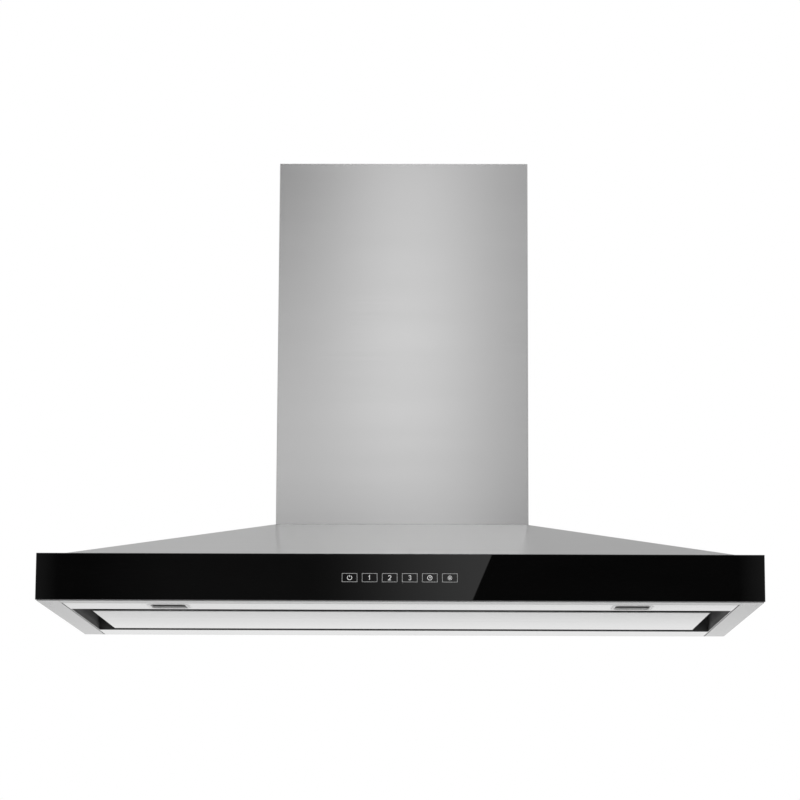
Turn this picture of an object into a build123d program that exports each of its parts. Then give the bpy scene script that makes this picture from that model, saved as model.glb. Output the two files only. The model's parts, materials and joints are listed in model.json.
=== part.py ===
from build123d import *
import math
import os

# Wall mount range hood with a glass front and a telescopic chimney, in millimetres.
# X runs along the wall, Y points into the wall, Z points up.
# The origin lies on the wall plane, midway between the two hanging holes.

# Overall sizes and common stock
hood_width = 898.0          # over the glass
hood_depth = 500.0          # from the wall to the front of the glass
sheet = 1.0                 # folded steel sheet
bend = 1.5                  # outer radius of a fold
seam = 0.5                  # open seam between nested sheets
slip = 0.4                  # play between pieces that slide on each other
lift = 0.3                  # play above and below a sliding piece
running_play = 0.05         # radial play of a turning pin

# Canopy
canopy_height = 122.0
skirt_height = 54.5
rim_width = 27.3            # bottom rim at the front and both sides
glass_overhang = 1.0        # glass past the canopy at each end
hanging_height = 88.0       # hanging holes above the bottom edge
hanging_spacing = 400.0
hanging_hole = 8.0
ledge_width = 20.0          # top ledge inside the chimney

# Glass front and touch keys
glass_height = 58.0
glass_thickness = 5.0
glass_lift = 0.8            # glass above the bottom edge
glass_arris = 0.6
tape_thickness = 1.0
tape_width = 8.0
tape_inset = 4.0
key_count = 6
key_pitch = 24.7
pad_width = 14.0
pad_height = 8.0
window_height = 24.0
carrier_height = 42.0
carrier_margin = 10.0       # carrier past the outer keys
carrier_wall = 3.0
carrier_back = 3.0
carrier_ear = 12.0
board_thickness = 1.6
board_setback = 7.0         # board behind the canopy's front wall
board_seat = 3.0            # width of the step that carries the board
board_room = 8.0            # room behind the board

# Screws
screw_radius = 2.0
screw_head_radius = 3.6
screw_head_height = 2.0
screw_tail = 3.0            # screw past the sheet it grips
screw_play = 0.1

# Filter pan
pan_seam = 1.2              # open seam between the pan and the canopy's rim
lamp_strip = 78.0           # front strip of the pan
rear_strip = 77.0
deck_height = 45.0          # filter deck above the bottom edge
deck_lip = 16.0
centre_bar = 20.0
pan_lip = 10.0              # lip of the pan over the canopy's rim
pan_upstand = 20.0
stud_height = 8.0

# Suction panel with its hinges and magnets
front_gap = 31.0            # slot before the panel
rear_gap = 27.0             # slot behind it
side_gap = 23.0             # slot at each end of it
panel_edge = 12.0
panel_return = 8.0
hinge_inset = 22.5
hinge_offset = 7.0          # hinge pin behind the panel
hinge_height = 8.0          # hinge pin above the bottom edge
hinge_eye = 5.0
hinge_pin_radius = 3.0
hinge_plate = 2.5
hinge_foot = 1.5
hinge_foot_width = 24.0
hinge_foot_rise = 20.0
lug_thickness = 2.0
magnet_inset = 14.0
magnet_width = 20.0
magnet_height = 8.0
magnet_shelf = 1.5
magnet_foot_rise = 12.0

# Grease filters
filter_play = 1.0
filter_thickness = 9.0
filter_side_bar = 14.0
filter_land = 6.0           # frame past a slot or a hook
mesh_thickness = 2.0
mesh_groove = 4.0
hook_thickness = 2.0
hook_gap = 1.5
hook_reach = 7.0
hook_width = 20.0
hook_spacing = 240.0
latch_gap = 2.0
latch_travel = 7.0
latch_reach = 4.0
latch_width = 30.0
latch_depth = 8.0
latch_bolt = 3.0
latch_wing = 6.0
latch_wing_thickness = 1.6
pull_width = 50.0
pull_depth = 22.0
pull_height = 12.0

# Lamps
lamp_spacing = 581.0
lamp_width = 43.5           # clear opening along the hood
lamp_depth = 50.0           # clear opening from front to rear
lamp_corner = 6.0
lamp_flange = 0.4           # bezel below the strip
lamp_flange_width = 3.8
lamp_recess = 2.4           # lens above the face of the bezel
lamp_wall = 1.0
lamp_lip = 0.7              # lip that carries the lens
lamp_tube_height = 12.0
lens_thickness = 2.5
lamp_plug = 4.0
lamp_cap = 10.0

# Power box and inner leads
power_centre = 130.0
power_length = 150.0
power_depth = 60.0
power_height = 36.0
power_wall = 2.5
power_stud_spacing = 110.0
power_post = 12.0
power_post_radius = 4.0
nut_radius = 3.5
nut_height = 3.0
lead_radius = 2.5
lead_room = 20.0            # rise of the inner leads above the power box
lead_bend = 8.0
lead_wide_bend = 40.0
motor_lead_offset = -35.0
mains_lead_offset = -10.0

# Chimney
chimney_width = 332.0
chimney_depth = 280.0
chimney_height = 487.0
chimney_lip = 18.0          # return flange at the wall
upper_drop = 4.0            # upper section below the top of the lower one
upper_lift = 25.0           # upper section above the blower box's upturned edges
vent_count = 6
vent_length = 120.0
vent_width = 5.0
vent_pitch = 14.0
vent_drop = 45.0
bracket_plate = 1.5
bracket_height = 40.0
bracket_drop = 12.0
bracket_gap = 10.0          # bracket plate inside the chimney's rear lips
bracket_spacing = 200.0
bracket_hole = 6.0
chimney_screw_setback = 40.0
chimney_screw_rise = 8.0

# Blower box and scroll
box_side_room = 15.0
box_front_room = 13.0
box_rear_room = 16.0
box_flange = 10.0           # rear foot of the box on the canopy
box_screw_inset = 35.0      # screws from the ends of the box
upstand_height = 15.0       # upturned edges that locate the chimney
scroll_room = 14.5
scroll_floor = 10.0
scroll_step = 9.0           # growth of the scroll in each quarter turn
scroll_offset = 4.0         # first scroll centre off the fan axis
scroll_throat = 40.0        # straight outlet above the scroll
scroll_wall = 2.0
scroll_flange = 12.0
scroll_flange_thickness = 3.0
scroll_lug = 12.0
scroll_lug_thickness = 5.0
tongue_angle = 75.0
tongue_gap = 6.0

# Impeller and motor
fan_width = 116.0
fan_side_gap = 5.0
blade_count = 32
blade_depth = 15.0
blade_thickness = 1.6
blade_tilt = 30.0
fan_disc = 3.0
fan_ring = 3.0
hub_radius = 14.0
hub_length = 15.0
shaft_radius = 4.0
motor_radius = 45.0
motor_front = 6.0           # motor face from the fan's middle plane
motor_end_wall = 5.0
bearing_radius = 12.0
bearing_width = 8.0
rotor_radius = 25.0
rotor_gap = 0.5
rotor_length = 26.0
motor_bracket_plate = 2.0
motor_bracket_hub = 30.0
motor_arm_width = 16.0
motor_arm_reach = 10.0
motor_arm_count = 3

# Run capacitor
capacitor_radius = 16.0
capacitor_length = 60.0
capacitor_rise = 60.0
clip_thickness = 1.5
clip_width = 15.0
clip_gap = 3.0

# Duct collar and damper
collar_radius = 75.0
collar_wall = 2.0
collar_length = 60.0
collar_flange = 12.0
collar_flange_thickness = 3.0
collar_screw_count = 4
damper_rise = 14.0          # damper spindle above the collar's foot
damper_spindle_radius = 2.0
damper_knuckle_radius = 4.0
damper_knuckle_length = 14.0
damper_plate = 1.6
damper_play = 1.0           # flap inside the collar
damper_seat = 3.0           # ring under the flaps
damper_cutback = 0.8        # flap plate clear of the other flap's knuckles
damper_lip_gap = 0.3

# Cable gland
gland_radius = 9.0
gland_bore = 4.0
gland_flange_radius = 13.0
gland_flange = 4.0
gland_tail = 5.0

# Places worked out from the sizes
bottom = -hanging_height
skirt_top = bottom + skirt_height
canopy_top = bottom + canopy_height
canopy_half = hood_width / 2 - glass_overhang
glass_back = -hood_depth + glass_thickness
canopy_front = glass_back + tape_thickness
front_inner = canopy_front + sheet
glass_low = bottom + glass_lift
key_level = glass_low + glass_height / 2
keys_half = key_count * key_pitch / 2

pan_half = canopy_half - rim_width - pan_seam
pan_front = canopy_front + rim_width + pan_seam
pan_rear = -sheet - seam
opening_half = pan_half - sheet
opening_front = pan_front + lamp_strip
opening_rear = -rear_strip
deck_top = bottom + deck_height
lamp_half = lamp_spacing / 2
lamp_y = pan_front + lamp_strip / 2
lamp_tube_margin = lamp_lip + lamp_wall
lamp_tube_top = bottom + lamp_tube_height
lens_low = bottom - lamp_flange + lamp_recess

panel_half = opening_half - side_gap
panel_front = opening_front + front_gap
panel_rear = opening_rear - rear_gap
panel_top = bottom + panel_edge
hinge_half = panel_half - hinge_inset
hinge_y = panel_rear + hinge_offset
hinge_z = bottom + hinge_height
magnet_half = panel_half - magnet_inset
magnet_low = panel_top + lift
shelf_low = magnet_low + magnet_height

filter_top = deck_top - sheet
filter_low = filter_top - filter_thickness
filter_inner = filter_play / 2
filter_outer = opening_half - filter_play
filter_centre = (filter_inner + filter_outer) / 2
filter_front = opening_front + filter_play
filter_rear = opening_rear - filter_play
latch_front = opening_front + deck_lip + latch_gap
latch_rear = latch_front + latch_depth
slot_rear = latch_rear + latch_travel + slip
hook_rear = opening_rear - deck_lip - hook_gap
hook_front = hook_rear - hook_thickness
net_front = slot_rear + filter_land
net_rear = hook_front - filter_land
net_inner = filter_inner + filter_side_bar
net_outer = filter_outer - filter_side_bar

power_floor = bottom + sheet
power_top = power_floor + power_height
power_front = lamp_y - power_depth / 2
power_left = power_centre - power_length / 2
power_right = power_centre + power_length / 2

chimney_half = chimney_width / 2
chimney_top = canopy_top + chimney_height
upper_half = chimney_half - sheet - slip
upper_front = -chimney_depth + sheet + slip
upper_rear = -sheet - slip
upper_low = canopy_top + upstand_height + upper_lift
upper_top = chimney_top - upper_drop
bracket_top = upper_top - bracket_drop
bracket_low = bracket_top - bracket_height
bracket_half = chimney_half - chimney_lip - bracket_gap

box_half = chimney_half - sheet - box_side_room
box_front = -chimney_depth + sheet + box_front_room
box_rear = -box_rear_room
box_inner_half = box_half - sheet
box_inner_front = box_front + sheet
box_inner_rear = box_rear - sheet
scroll_radius = (box_inner_rear - box_inner_front - 2 * scroll_room - 3 * scroll_step) / 2
fan_y = box_inner_front + scroll_room + scroll_offset + scroll_radius
fan_z = canopy_top + scroll_floor + scroll_offset + scroll_step + scroll_radius
box_inner_top = fan_z + scroll_radius + scroll_throat
box_top = box_inner_top + sheet
outlet_front = -scroll_offset - scroll_radius * math.cos(math.radians(tongue_angle))
outlet_rear = scroll_radius + 3 * scroll_step - scroll_offset
collar_y = fan_y + (outlet_front + outlet_rear) / 2
fan_radius = scroll_radius - scroll_wall - scroll_offset * math.sqrt(2) - tongue_gap
blade_inner = fan_radius - blade_depth
inlet_radius = blade_inner
volute_half = fan_width / 2 + fan_side_gap + scroll_wall
motor_rear = volute_half
capacitor_x = power_centre + motor_lead_offset
capacitor_y = box_inner_front + clip_gap + clip_thickness + capacitor_radius
capacitor_low = canopy_top + capacitor_rise
gland_x = power_centre + mains_lead_offset
collar_inner = collar_radius - collar_wall
damper_z = box_top + damper_rise


def block(x_limits, y_limits, z_limits):
    """A box between pairs of limits, given in either order."""
    limits = (x_limits, y_limits, z_limits)
    low = [min(pair) for pair in limits]
    size = [max(pair) - min(pair) for pair in limits]
    return Pos(*low) * Box(*size, align=(Align.MIN, Align.MIN, Align.MIN))


def post(start, direction, radius, length):
    """A cylinder that starts at a point and runs along a direction."""
    place = Plane(origin=start, z_dir=direction).location
    return place * Cylinder(radius, length, align=(Align.CENTER, Align.CENTER, Align.MIN))


def screw(seat, outward, grip):
    """A pan-head screw with its head seated at a point and its shank running inwards."""
    inward = [-part for part in outward]
    head = post(seat, outward, screw_head_radius, screw_head_height)
    return head + post(seat, inward, screw_radius, grip)


def screw_hole(seat, outward, grip):
    """The clearance hole of a screw."""
    inward = [-part for part in outward]
    return post(seat, inward, screw_radius + screw_play, grip)


def group(solids):
    """Separate solids kept in one node."""
    return Compound(children=list(solids))


def tube_along(points, radii):
    """A lead of round section along straight runs joined by arcs."""
    path = FilletPolyline(*points, radius=radii)
    start = Plane(origin=path @ 0, z_dir=path % 0)
    return sweep(start * Circle(lead_radius), path=path)


# Canopy and glass
def chimney_screw_seats():
    """Seat and outward direction of the two screws that hold the chimney to the blower box."""
    level = canopy_top + chimney_screw_rise
    return [((side * chimney_half, -chimney_screw_setback, level), (side, 0, 0)) for side in (-1, 1)]


def box_screw_seats():
    """Seats of the four screws in the feet of the blower box's sides."""
    across = box_half + box_flange / 2
    ends = (box_front + box_screw_inset, box_rear - box_screw_inset)
    return [(side * across, along, canopy_top + sheet) for side in (-1, 1) for along in ends]


def carrier_screw_seats():
    """Seats of the two screws that hold the key board's carrier."""
    across = keys_half + carrier_margin + carrier_ear / 2
    return [(side * across, front_inner + carrier_back, key_level) for side in (-1, 1)]


def canopy_shell():
    skirt = block((-canopy_half, canopy_half), (canopy_front, 0), (bottom, skirt_top))
    roof_foot = Pos(0, canopy_front / 2, skirt_top) * Rectangle(2 * canopy_half, -canopy_front)
    roof_head = Pos(0, -chimney_depth / 2, canopy_top) * Rectangle(chimney_width, chimney_depth)
    body = skirt + loft([roof_foot, roof_head])
    floor = body.faces().sort_by(Axis.Z)[0]
    shell = offset(body, amount=-sheet, openings=floor, kind=Kind.INTERSECTION)

    rim_top = bottom + sheet
    for side in (-1, 1):
        inner = side * (canopy_half - rim_width)
        shell += block((inner, side * canopy_half), (canopy_front, 0), (bottom, rim_top))
    shell += block((-canopy_half, canopy_half), (canopy_front, canopy_front + rim_width), (bottom, rim_top))

    ledge_half = chimney_half - ledge_width
    shell -= block((-ledge_half, ledge_half), (-chimney_depth + ledge_width, -ledge_width),
                   (canopy_top - 2 * sheet, canopy_top + sheet))
    shell -= block((-keys_half, keys_half), (canopy_front, front_inner),
                   (key_level - window_height / 2, key_level + window_height / 2))
    for side in (-1, 1):
        shell -= post((side * hanging_spacing / 2, -sheet, 0), (0, 1, 0), hanging_hole / 2, sheet)
    for seat in carrier_screw_seats():
        shell -= screw_hole(seat, (0, 1, 0), carrier_back + sheet)
    for seat in box_screw_seats():
        shell -= screw_hole(seat, (0, 0, 1), 2 * sheet)
    return shell


def glass_front():
    pane = block((-hood_width / 2, hood_width / 2), (-hood_depth, glass_back),
                 (glass_low, glass_low + glass_height))
    return fillet(pane.edges(), glass_arris)


def glass_tape():
    half = canopy_half - tape_inset
    low_strip = glass_low + tape_inset
    high_strip = skirt_top - tape_inset - tape_width
    return group(block((-half, half), (glass_back, canopy_front), (level, level + tape_width))
                 for level in (low_strip, high_strip))


# Touch keys
def key_places():
    """Positions of the key centres across the glass."""
    return [(index - (key_count - 1) / 2) * key_pitch for index in range(key_count)]


def touch_pads():
    board_front = front_inner + board_setback
    return group(block((x - pad_width / 2, x + pad_width / 2), (glass_back, board_front),
                       (key_level - pad_height / 2, key_level + pad_height / 2)) for x in key_places())


def touch_board():
    half = keys_half + carrier_margin - carrier_wall - slip
    tall = carrier_height / 2 - carrier_wall - slip
    front = front_inner + board_setback
    return block((-half, half), (front, front + board_thickness), (key_level - tall, key_level + tall))


def control_carrier():
    half = keys_half + carrier_margin
    tall = carrier_height / 2
    board_rear = front_inner + board_setback + board_thickness
    rear = board_rear + board_room + carrier_back
    tray = block((-half, half), (front_inner, rear), (key_level - tall, key_level + tall))
    ear_half = half + carrier_ear
    tray += block((-ear_half, ear_half), (front_inner, front_inner + carrier_back),
                  (key_level - carrier_ear / 2, key_level + carrier_ear / 2))
    pocket_half = half - carrier_wall
    pocket_tall = tall - carrier_wall
    tray -= block((-pocket_half, pocket_half), (front_inner, board_rear),
                  (key_level - pocket_tall, key_level + pocket_tall))
    back_half = pocket_half - board_seat
    back_tall = pocket_tall - board_seat
    tray -= block((-back_half, back_half), (board_rear, board_rear + board_room),
                  (key_level - back_tall, key_level + back_tall))
    for seat in carrier_screw_seats():
        tray -= screw_hole(seat, (0, 1, 0), carrier_back)
    return tray


def carrier_screws():
    return group(screw(seat, (0, 1, 0), carrier_back + sheet) for seat in carrier_screw_seats())


# Filter pan
def hinge_screw_seats():
    """Seats of the screws that hold the hinge brackets to the pan."""
    seats = []
    for side in (-1, 1):
        for end in (-1, 1):
            across = side * hinge_half + end * hinge_foot_width / 4
            level = hinge_z + hinge_foot_rise - screw_head_radius - sheet
            seats.append((across, opening_rear - hinge_foot, level))
    return seats


def power_stud_places():
    """Positions of the two studs that hold the power box."""
    return [power_centre + end * power_stud_spacing / 2 for end in (-1, 1)]


def lamp_places():
    """Positions of the two lamps along the front strip."""
    return [-lamp_half, lamp_half]


def lamp_block(x, margin, low, high):
    """A block with rounded corners, larger than a lamp's clear opening by a margin all round."""
    plan = RectangleRounded(lamp_width + 2 * margin, lamp_depth + 2 * margin, lamp_corner + margin)
    return extrude(Pos(x, lamp_y, low) * plan, amount=high - low)


def filter_pan():
    skin = (bottom, bottom + sheet)
    riser = (bottom, bottom + 2 * sheet)
    lip = (bottom + sheet, bottom + 2 * sheet)
    wall = (bottom, deck_top)
    deck = (deck_top - sheet, deck_top)
    whole = (-pan_half, pan_half)

    pan = block(whole, (pan_front, opening_front), skin)
    pan += block(whole, (opening_rear, pan_rear), skin)
    pan += block(whole, (opening_front - sheet, opening_front), wall)
    pan += block(whole, (opening_rear, opening_rear + sheet), wall)
    pan += block(whole, (pan_front, pan_front + sheet), riser)
    pan += block(whole, (pan_rear - sheet, pan_rear), (bottom, bottom + pan_upstand))
    pan += block((-pan_half - pan_lip, pan_half + pan_lip), (pan_front - pan_lip, pan_front + sheet), lip)
    pan += block(whole, (opening_front, opening_front + deck_lip), deck)
    pan += block(whole, (opening_rear - deck_lip, opening_rear), deck)
    pan += block((-centre_bar / 2, centre_bar / 2), (opening_front, opening_rear), deck)
    for side in (-1, 1):
        outer = side * pan_half
        inner = side * opening_half
        pan += block((inner, outer), (opening_front - sheet, opening_rear + sheet), wall)
        pan += block((inner, outer), (pan_front, pan_rear), riser)
        pan += block((inner, outer + side * pan_lip), (pan_front, pan_rear), lip)
        pan += block((inner - side * deck_lip, inner), (opening_front, opening_rear), deck)

    for x in power_stud_places():
        pan += post((x, lamp_y, bottom + sheet), (0, 0, 1), screw_radius, stud_height)
    for x in lamp_places():
        pan -= lamp_block(x, lamp_tube_margin + seam, bottom, bottom + sheet)
    for seat in hinge_screw_seats():
        pan -= screw_hole(seat, (0, -1, 0), hinge_foot + sheet)
    return pan


# Suction panel
def suction_panel():
    tray = block((-panel_half, panel_half), (panel_front, panel_rear), (bottom, panel_top))
    upright = tray.edges().filter_by(Axis.Z)
    tray = fillet(upright, bend)
    lower_edges = tray.edges().group_by(Axis.Z)[0]
    tray = fillet(lower_edges, bend)
    inside = panel_half - sheet
    tray -= block((-inside, inside), (panel_front + sheet, panel_rear - sheet),
                  (bottom + sheet, panel_top - sheet))
    mouth = panel_half - panel_return
    tray -= block((-mouth, mouth), (panel_front + panel_return, panel_rear - panel_return),
                  (panel_top - sheet, panel_top))
    return tray


def panel_hinge_brackets():
    brackets = []
    for side in (-1, 1):
        middle = side * hinge_half
        plate = (middle - hinge_plate / 2, middle + hinge_plate / 2)
        arm = block(plate, (hinge_y, opening_rear), (hinge_z - hinge_eye, hinge_z + hinge_eye))
        arm += post((plate[0], hinge_y, hinge_z), (1, 0, 0), hinge_eye, hinge_plate)
        arm += block((middle - hinge_foot_width / 2, middle + hinge_foot_width / 2),
                     (opening_rear - hinge_foot, opening_rear),
                     (hinge_z - hinge_eye, hinge_z + hinge_foot_rise))
        arm -= post((plate[0], hinge_y, hinge_z), (1, 0, 0), hinge_pin_radius + running_play, hinge_plate)
        brackets.append(arm)
    holes = [screw_hole(seat, (0, -1, 0), hinge_foot) for seat in hinge_screw_seats()]
    return group(arm - holes for arm in brackets)


def hinge_screws():
    grip = hinge_foot + sheet + screw_tail
    return group(screw(seat, (0, -1, 0), grip) for seat in hinge_screw_seats())


def panel_hinge_lugs():
    lugs = []
    for side in (-1, 1):
        for cheek in (-1, 1):
            near = side * hinge_half + cheek * (hinge_plate / 2 + slip)
            far = near + cheek * lug_thickness
            start = min(near, far)
            lug = block((near, far), (panel_rear, hinge_y), (hinge_z - hinge_eye, panel_top))
            lug += post((start, hinge_y, hinge_z), (1, 0, 0), hinge_eye, lug_thickness)
            lug -= post((start, hinge_y, hinge_z), (1, 0, 0), hinge_pin_radius, lug_thickness)
            lugs.append(lug)
    return group(lugs)


def panel_hinge_pins():
    half = hinge_plate / 2 + slip + lug_thickness
    return group(post((side * hinge_half - half, hinge_y, hinge_z), (1, 0, 0), hinge_pin_radius, 2 * half)
                 for side in (-1, 1))


def magnet_limits(side):
    """Limits of a magnet along the width."""
    return (side * magnet_half - magnet_width / 2, side * magnet_half + magnet_width / 2)


def magnet_brackets():
    brackets = []
    for side in (-1, 1):
        across = magnet_limits(side)
        shelf = block(across, (opening_front, panel_front + panel_return),
                      (shelf_low, shelf_low + magnet_shelf))
        foot = block(across, (opening_front, opening_front + magnet_shelf),
                     (shelf_low, shelf_low + magnet_foot_rise))
        brackets.append(shelf + foot)
    return group(brackets)


def panel_magnets():
    along = (panel_front, panel_front + panel_return)
    return group(block(magnet_limits(side), along, (magnet_low, shelf_low)) for side in (-1, 1))


# Grease filters
def filter_mesh_limits(side, groove):
    """Plan limits of the mesh, reaching into the frame by the groove."""
    across = (side * (net_inner - groove), side * (net_outer + groove))
    along = (net_front - groove, net_rear + groove)
    return across, along


def mesh_level():
    middle = (filter_low + filter_top) / 2
    return (middle - mesh_thickness / 2, middle + mesh_thickness / 2)


def filter_frame(side):
    frame = block((side * filter_inner, side * filter_outer), (filter_front, filter_rear),
                  (filter_low, filter_top))
    frame -= block(*filter_mesh_limits(side, 0), (filter_low, filter_top))
    frame -= block(*filter_mesh_limits(side, mesh_groove), mesh_level())
    middle = side * filter_centre
    slot_half = latch_width / 2 + slip
    frame -= block((middle - slot_half, middle + slot_half), (latch_front - slip, slot_rear),
                   (filter_low, filter_top))
    hook_low = deck_top + lift
    for end in (-1, 1):
        centre = middle + end * hook_spacing / 2
        across = (centre - hook_width / 2, centre + hook_width / 2)
        frame += block(across, (hook_front, hook_rear), (filter_top, hook_low + hook_thickness))
        frame += block(across, (hook_front, hook_rear + hook_gap + hook_reach),
                       (hook_low, hook_low + hook_thickness))
    return frame


def filter_mesh(side):
    return block(*filter_mesh_limits(side, mesh_groove), mesh_level())


def filter_latch(side):
    middle = side * filter_centre
    half = latch_width / 2
    across = (middle - half, middle + half)
    pull_top = filter_low - lift
    bolt_low = deck_top + lift
    bolt_tip = latch_front - latch_gap - latch_reach
    latch = block(across, (latch_front, latch_rear), (pull_top, bolt_low + latch_bolt))
    latch += block(across, (bolt_tip, latch_rear), (bolt_low, bolt_low + latch_bolt))
    wing_low = filter_top + lift
    latch += block((across[0] - latch_wing, across[1] + latch_wing), (latch_front, latch_rear),
                   (wing_low, wing_low + latch_wing_thickness))
    latch += block((middle - pull_width / 2, middle + pull_width / 2),
                   (latch_front, latch_front + pull_depth), (pull_top - pull_height, pull_top))
    return latch


# Lamps
def lamp_bezels():
    face = bottom - lamp_flange
    bezels = []
    for x in lamp_places():
        bezel = lamp_block(x, lamp_flange_width, face, bottom)
        bezel += lamp_block(x, lamp_tube_margin, bottom, lamp_tube_top)
        bezel -= lamp_block(x, 0, face, lamp_tube_top)
        bezel -= lamp_block(x, lamp_lip, lens_low, lamp_tube_top)
        bezels.append(bezel)
    return group(bezels)


def lamp_lenses():
    margin = lamp_lip - running_play
    return group(lamp_block(x, margin, lens_low, lens_low + lens_thickness) for x in lamp_places())


def lamp_housings():
    margin = lamp_lip - running_play
    caps = []
    for x in lamp_places():
        cap = lamp_block(x, lamp_tube_margin, lamp_tube_top, lamp_tube_top + lamp_cap)
        caps.append(cap + lamp_block(x, margin, lamp_tube_top - lamp_plug, lamp_tube_top))
    return group(caps)


def lamp_boards():
    top = lamp_tube_top - lamp_plug
    return group(lamp_block(x, -lamp_wall, top - board_thickness, top) for x in lamp_places())


# Power box and inner leads
def power_box():
    box = block((power_left, power_right), (power_front, power_front + power_depth),
                (power_floor, power_top))
    box -= block((power_left + power_wall, power_right - power_wall),
                 (power_front + power_wall, power_front + power_depth - power_wall),
                 (power_floor + power_wall, power_top))
    for x in power_stud_places():
        box -= post((x, lamp_y, power_floor), (0, 0, 1), screw_radius + screw_play, power_wall)
    for side in (-1, 1):
        middle = (power_centre, lamp_y + side * power_depth / 4, power_floor + power_wall)
        box += post(middle, (0, 0, 1), power_post_radius, power_post)
    return box


def power_box_nuts():
    nuts = []
    for x in power_stud_places():
        seat = (x, lamp_y, power_floor + power_wall)
        nut = post(seat, (0, 0, 1), nut_radius, nut_height)
        nuts.append(nut - post(seat, (0, 0, 1), screw_radius + screw_play, nut_height))
    return group(nuts)


def power_board():
    low = power_floor + power_wall + power_post
    inset = power_wall + slip
    return block((power_left + inset, power_right - inset),
                 (power_front + inset, power_front + power_depth - inset), (low, low + board_thickness))


def power_box_lid():
    plate = block((power_left, power_right), (power_front, power_front + power_depth),
                  (power_top, power_top + power_wall))
    inset = power_wall + slip
    return plate + block((power_left + inset, power_right - inset),
                         (power_front + inset, power_front + power_depth - inset),
                         (power_top - power_wall, power_top))


def lead_lamps():
    level = bottom + sheet + lead_radius + lift
    reach = lamp_half - lamp_width / 2 - lamp_tube_margin
    right = post((power_right, lamp_y, level), (1, 0, 0), lead_radius, reach - power_right)
    left = post((power_left, lamp_y, level), (-1, 0, 0), lead_radius, reach + power_left)
    return group([right, left])


def lead_keys():
    start = front_inner + board_setback + board_thickness + board_room + carrier_back
    across = power_left + power_wall + 2 * lead_radius
    return post((across, start, key_level), (0, 1, 0), lead_radius, power_front - start)


def riser_points(across, depth, height):
    """Route of a lead from the power box's lid, over the filters and up the blower box."""
    over = power_top + power_wall + lead_room
    return [(across, lamp_y, power_top + power_wall), (across, lamp_y, over), (across, depth, over),
            (across, depth, height)]


def lead_motor():
    return tube_along(riser_points(capacitor_x, capacitor_y, capacitor_low), [lead_bend, lead_wide_bend])


def lead_mains():
    end = box_inner_top - gland_tail
    return tube_along(riser_points(gland_x, capacitor_y, end), [lead_bend, lead_wide_bend])


# Chimney
def channel(half, front, rear):
    """Section of a folded chimney: front, two sides and two return flanges at the wall."""
    middle = (front + rear) / 2
    outer = Pos(0, middle) * RectangleRounded(2 * half, rear - front, bend)
    inner = Pos(0, middle) * Rectangle(2 * half - 2 * sheet, rear - front - 2 * sheet)
    gap = Pos(0, rear - sheet / 2) * Rectangle(2 * (half - chimney_lip), sheet)
    return outer - inner - gap


def lower_chimney():
    shaft = extrude(Pos(0, 0, canopy_top) * channel(chimney_half, -chimney_depth, 0), chimney_height)
    for seat, outward in chimney_screw_seats():
        shaft -= screw_hole(seat, outward, sheet)
    return shaft


def bracket_screw_seats():
    """Seats of the two screws that hold the upper section to its bracket."""
    across = (bracket_half + upper_half - sheet) / 2
    level = (bracket_low + bracket_top) / 2
    return [(side * across, upper_rear - sheet - bracket_plate, level) for side in (-1, 1)]


def upper_chimney():
    section = channel(upper_half, upper_front, upper_rear)
    shaft = extrude(Pos(0, 0, upper_low) * section, upper_top - upper_low)
    middle = (upper_front + upper_rear) / 2
    for index in range(vent_count):
        level = upper_top - vent_drop - index * vent_pitch
        shaft -= block((-upper_half, upper_half), (middle - vent_length / 2, middle + vent_length / 2),
                       (level - vent_width, level))
    for seat in bracket_screw_seats():
        shaft -= screw_hole(seat, (0, -1, 0), bracket_plate + sheet)
    return shaft


def chimney_bracket():
    level = (bracket_low, bracket_top)
    middle = (bracket_low + bracket_top) / 2
    ear_front = upper_rear - sheet - bracket_plate
    ear_half = upper_half - sheet - slip
    plate = block((-bracket_half, bracket_half), (-bracket_plate, 0), level)
    for side in (-1, 1):
        inner = side * (bracket_half - bracket_plate)
        plate += block((inner, side * bracket_half), (ear_front, 0), level)
        plate += block((inner, side * ear_half), (ear_front, ear_front + bracket_plate), level)
        hole = (side * bracket_spacing / 2, -bracket_plate, middle)
        plate -= post(hole, (0, 1, 0), bracket_hole / 2, bracket_plate)
    for seat in bracket_screw_seats():
        plate -= screw_hole(seat, (0, -1, 0), bracket_plate)
    return plate


def bracket_screws():
    return group(screw(seat, (0, -1, 0), bracket_plate + sheet) for seat in bracket_screw_seats())


def chimney_screws():
    grip = 2 * sheet + slip
    return group(screw(seat, outward, grip) for seat, outward in chimney_screw_seats())


# Blower
def volute_screw_seats():
    """Seats of the four screws that hang the scroll under the top of the blower box."""
    half = (outlet_rear - outlet_front) / 2 + scroll_flange / 2
    seats = []
    for side in (-1, 1):
        for end in (-1, 1):
            seats.append((side * (volute_half + scroll_flange / 2), collar_y + end * half, box_top))
    return seats


def collar_screw_seats():
    """Seats of the screws in the collar's flange, halfway between the axes."""
    radius = collar_radius + collar_flange / 2
    seats = []
    for index in range(collar_screw_count):
        angle = math.radians((index + 0.5) * 360 / collar_screw_count)
        across = radius * math.cos(angle)
        along = collar_y + radius * math.sin(angle)
        seats.append((across, along, box_top + collar_flange_thickness))
    return seats


def box_end_wall(outer, inner, foot_end):
    """Front or rear wall of the blower box with its foot on the canopy."""
    whole = (-box_half, box_half)
    wall = block(whole, (outer, inner), (canopy_top, box_inner_top))
    return wall + block(whole, (foot_end, outer), (canopy_top, canopy_top + sheet))


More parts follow.
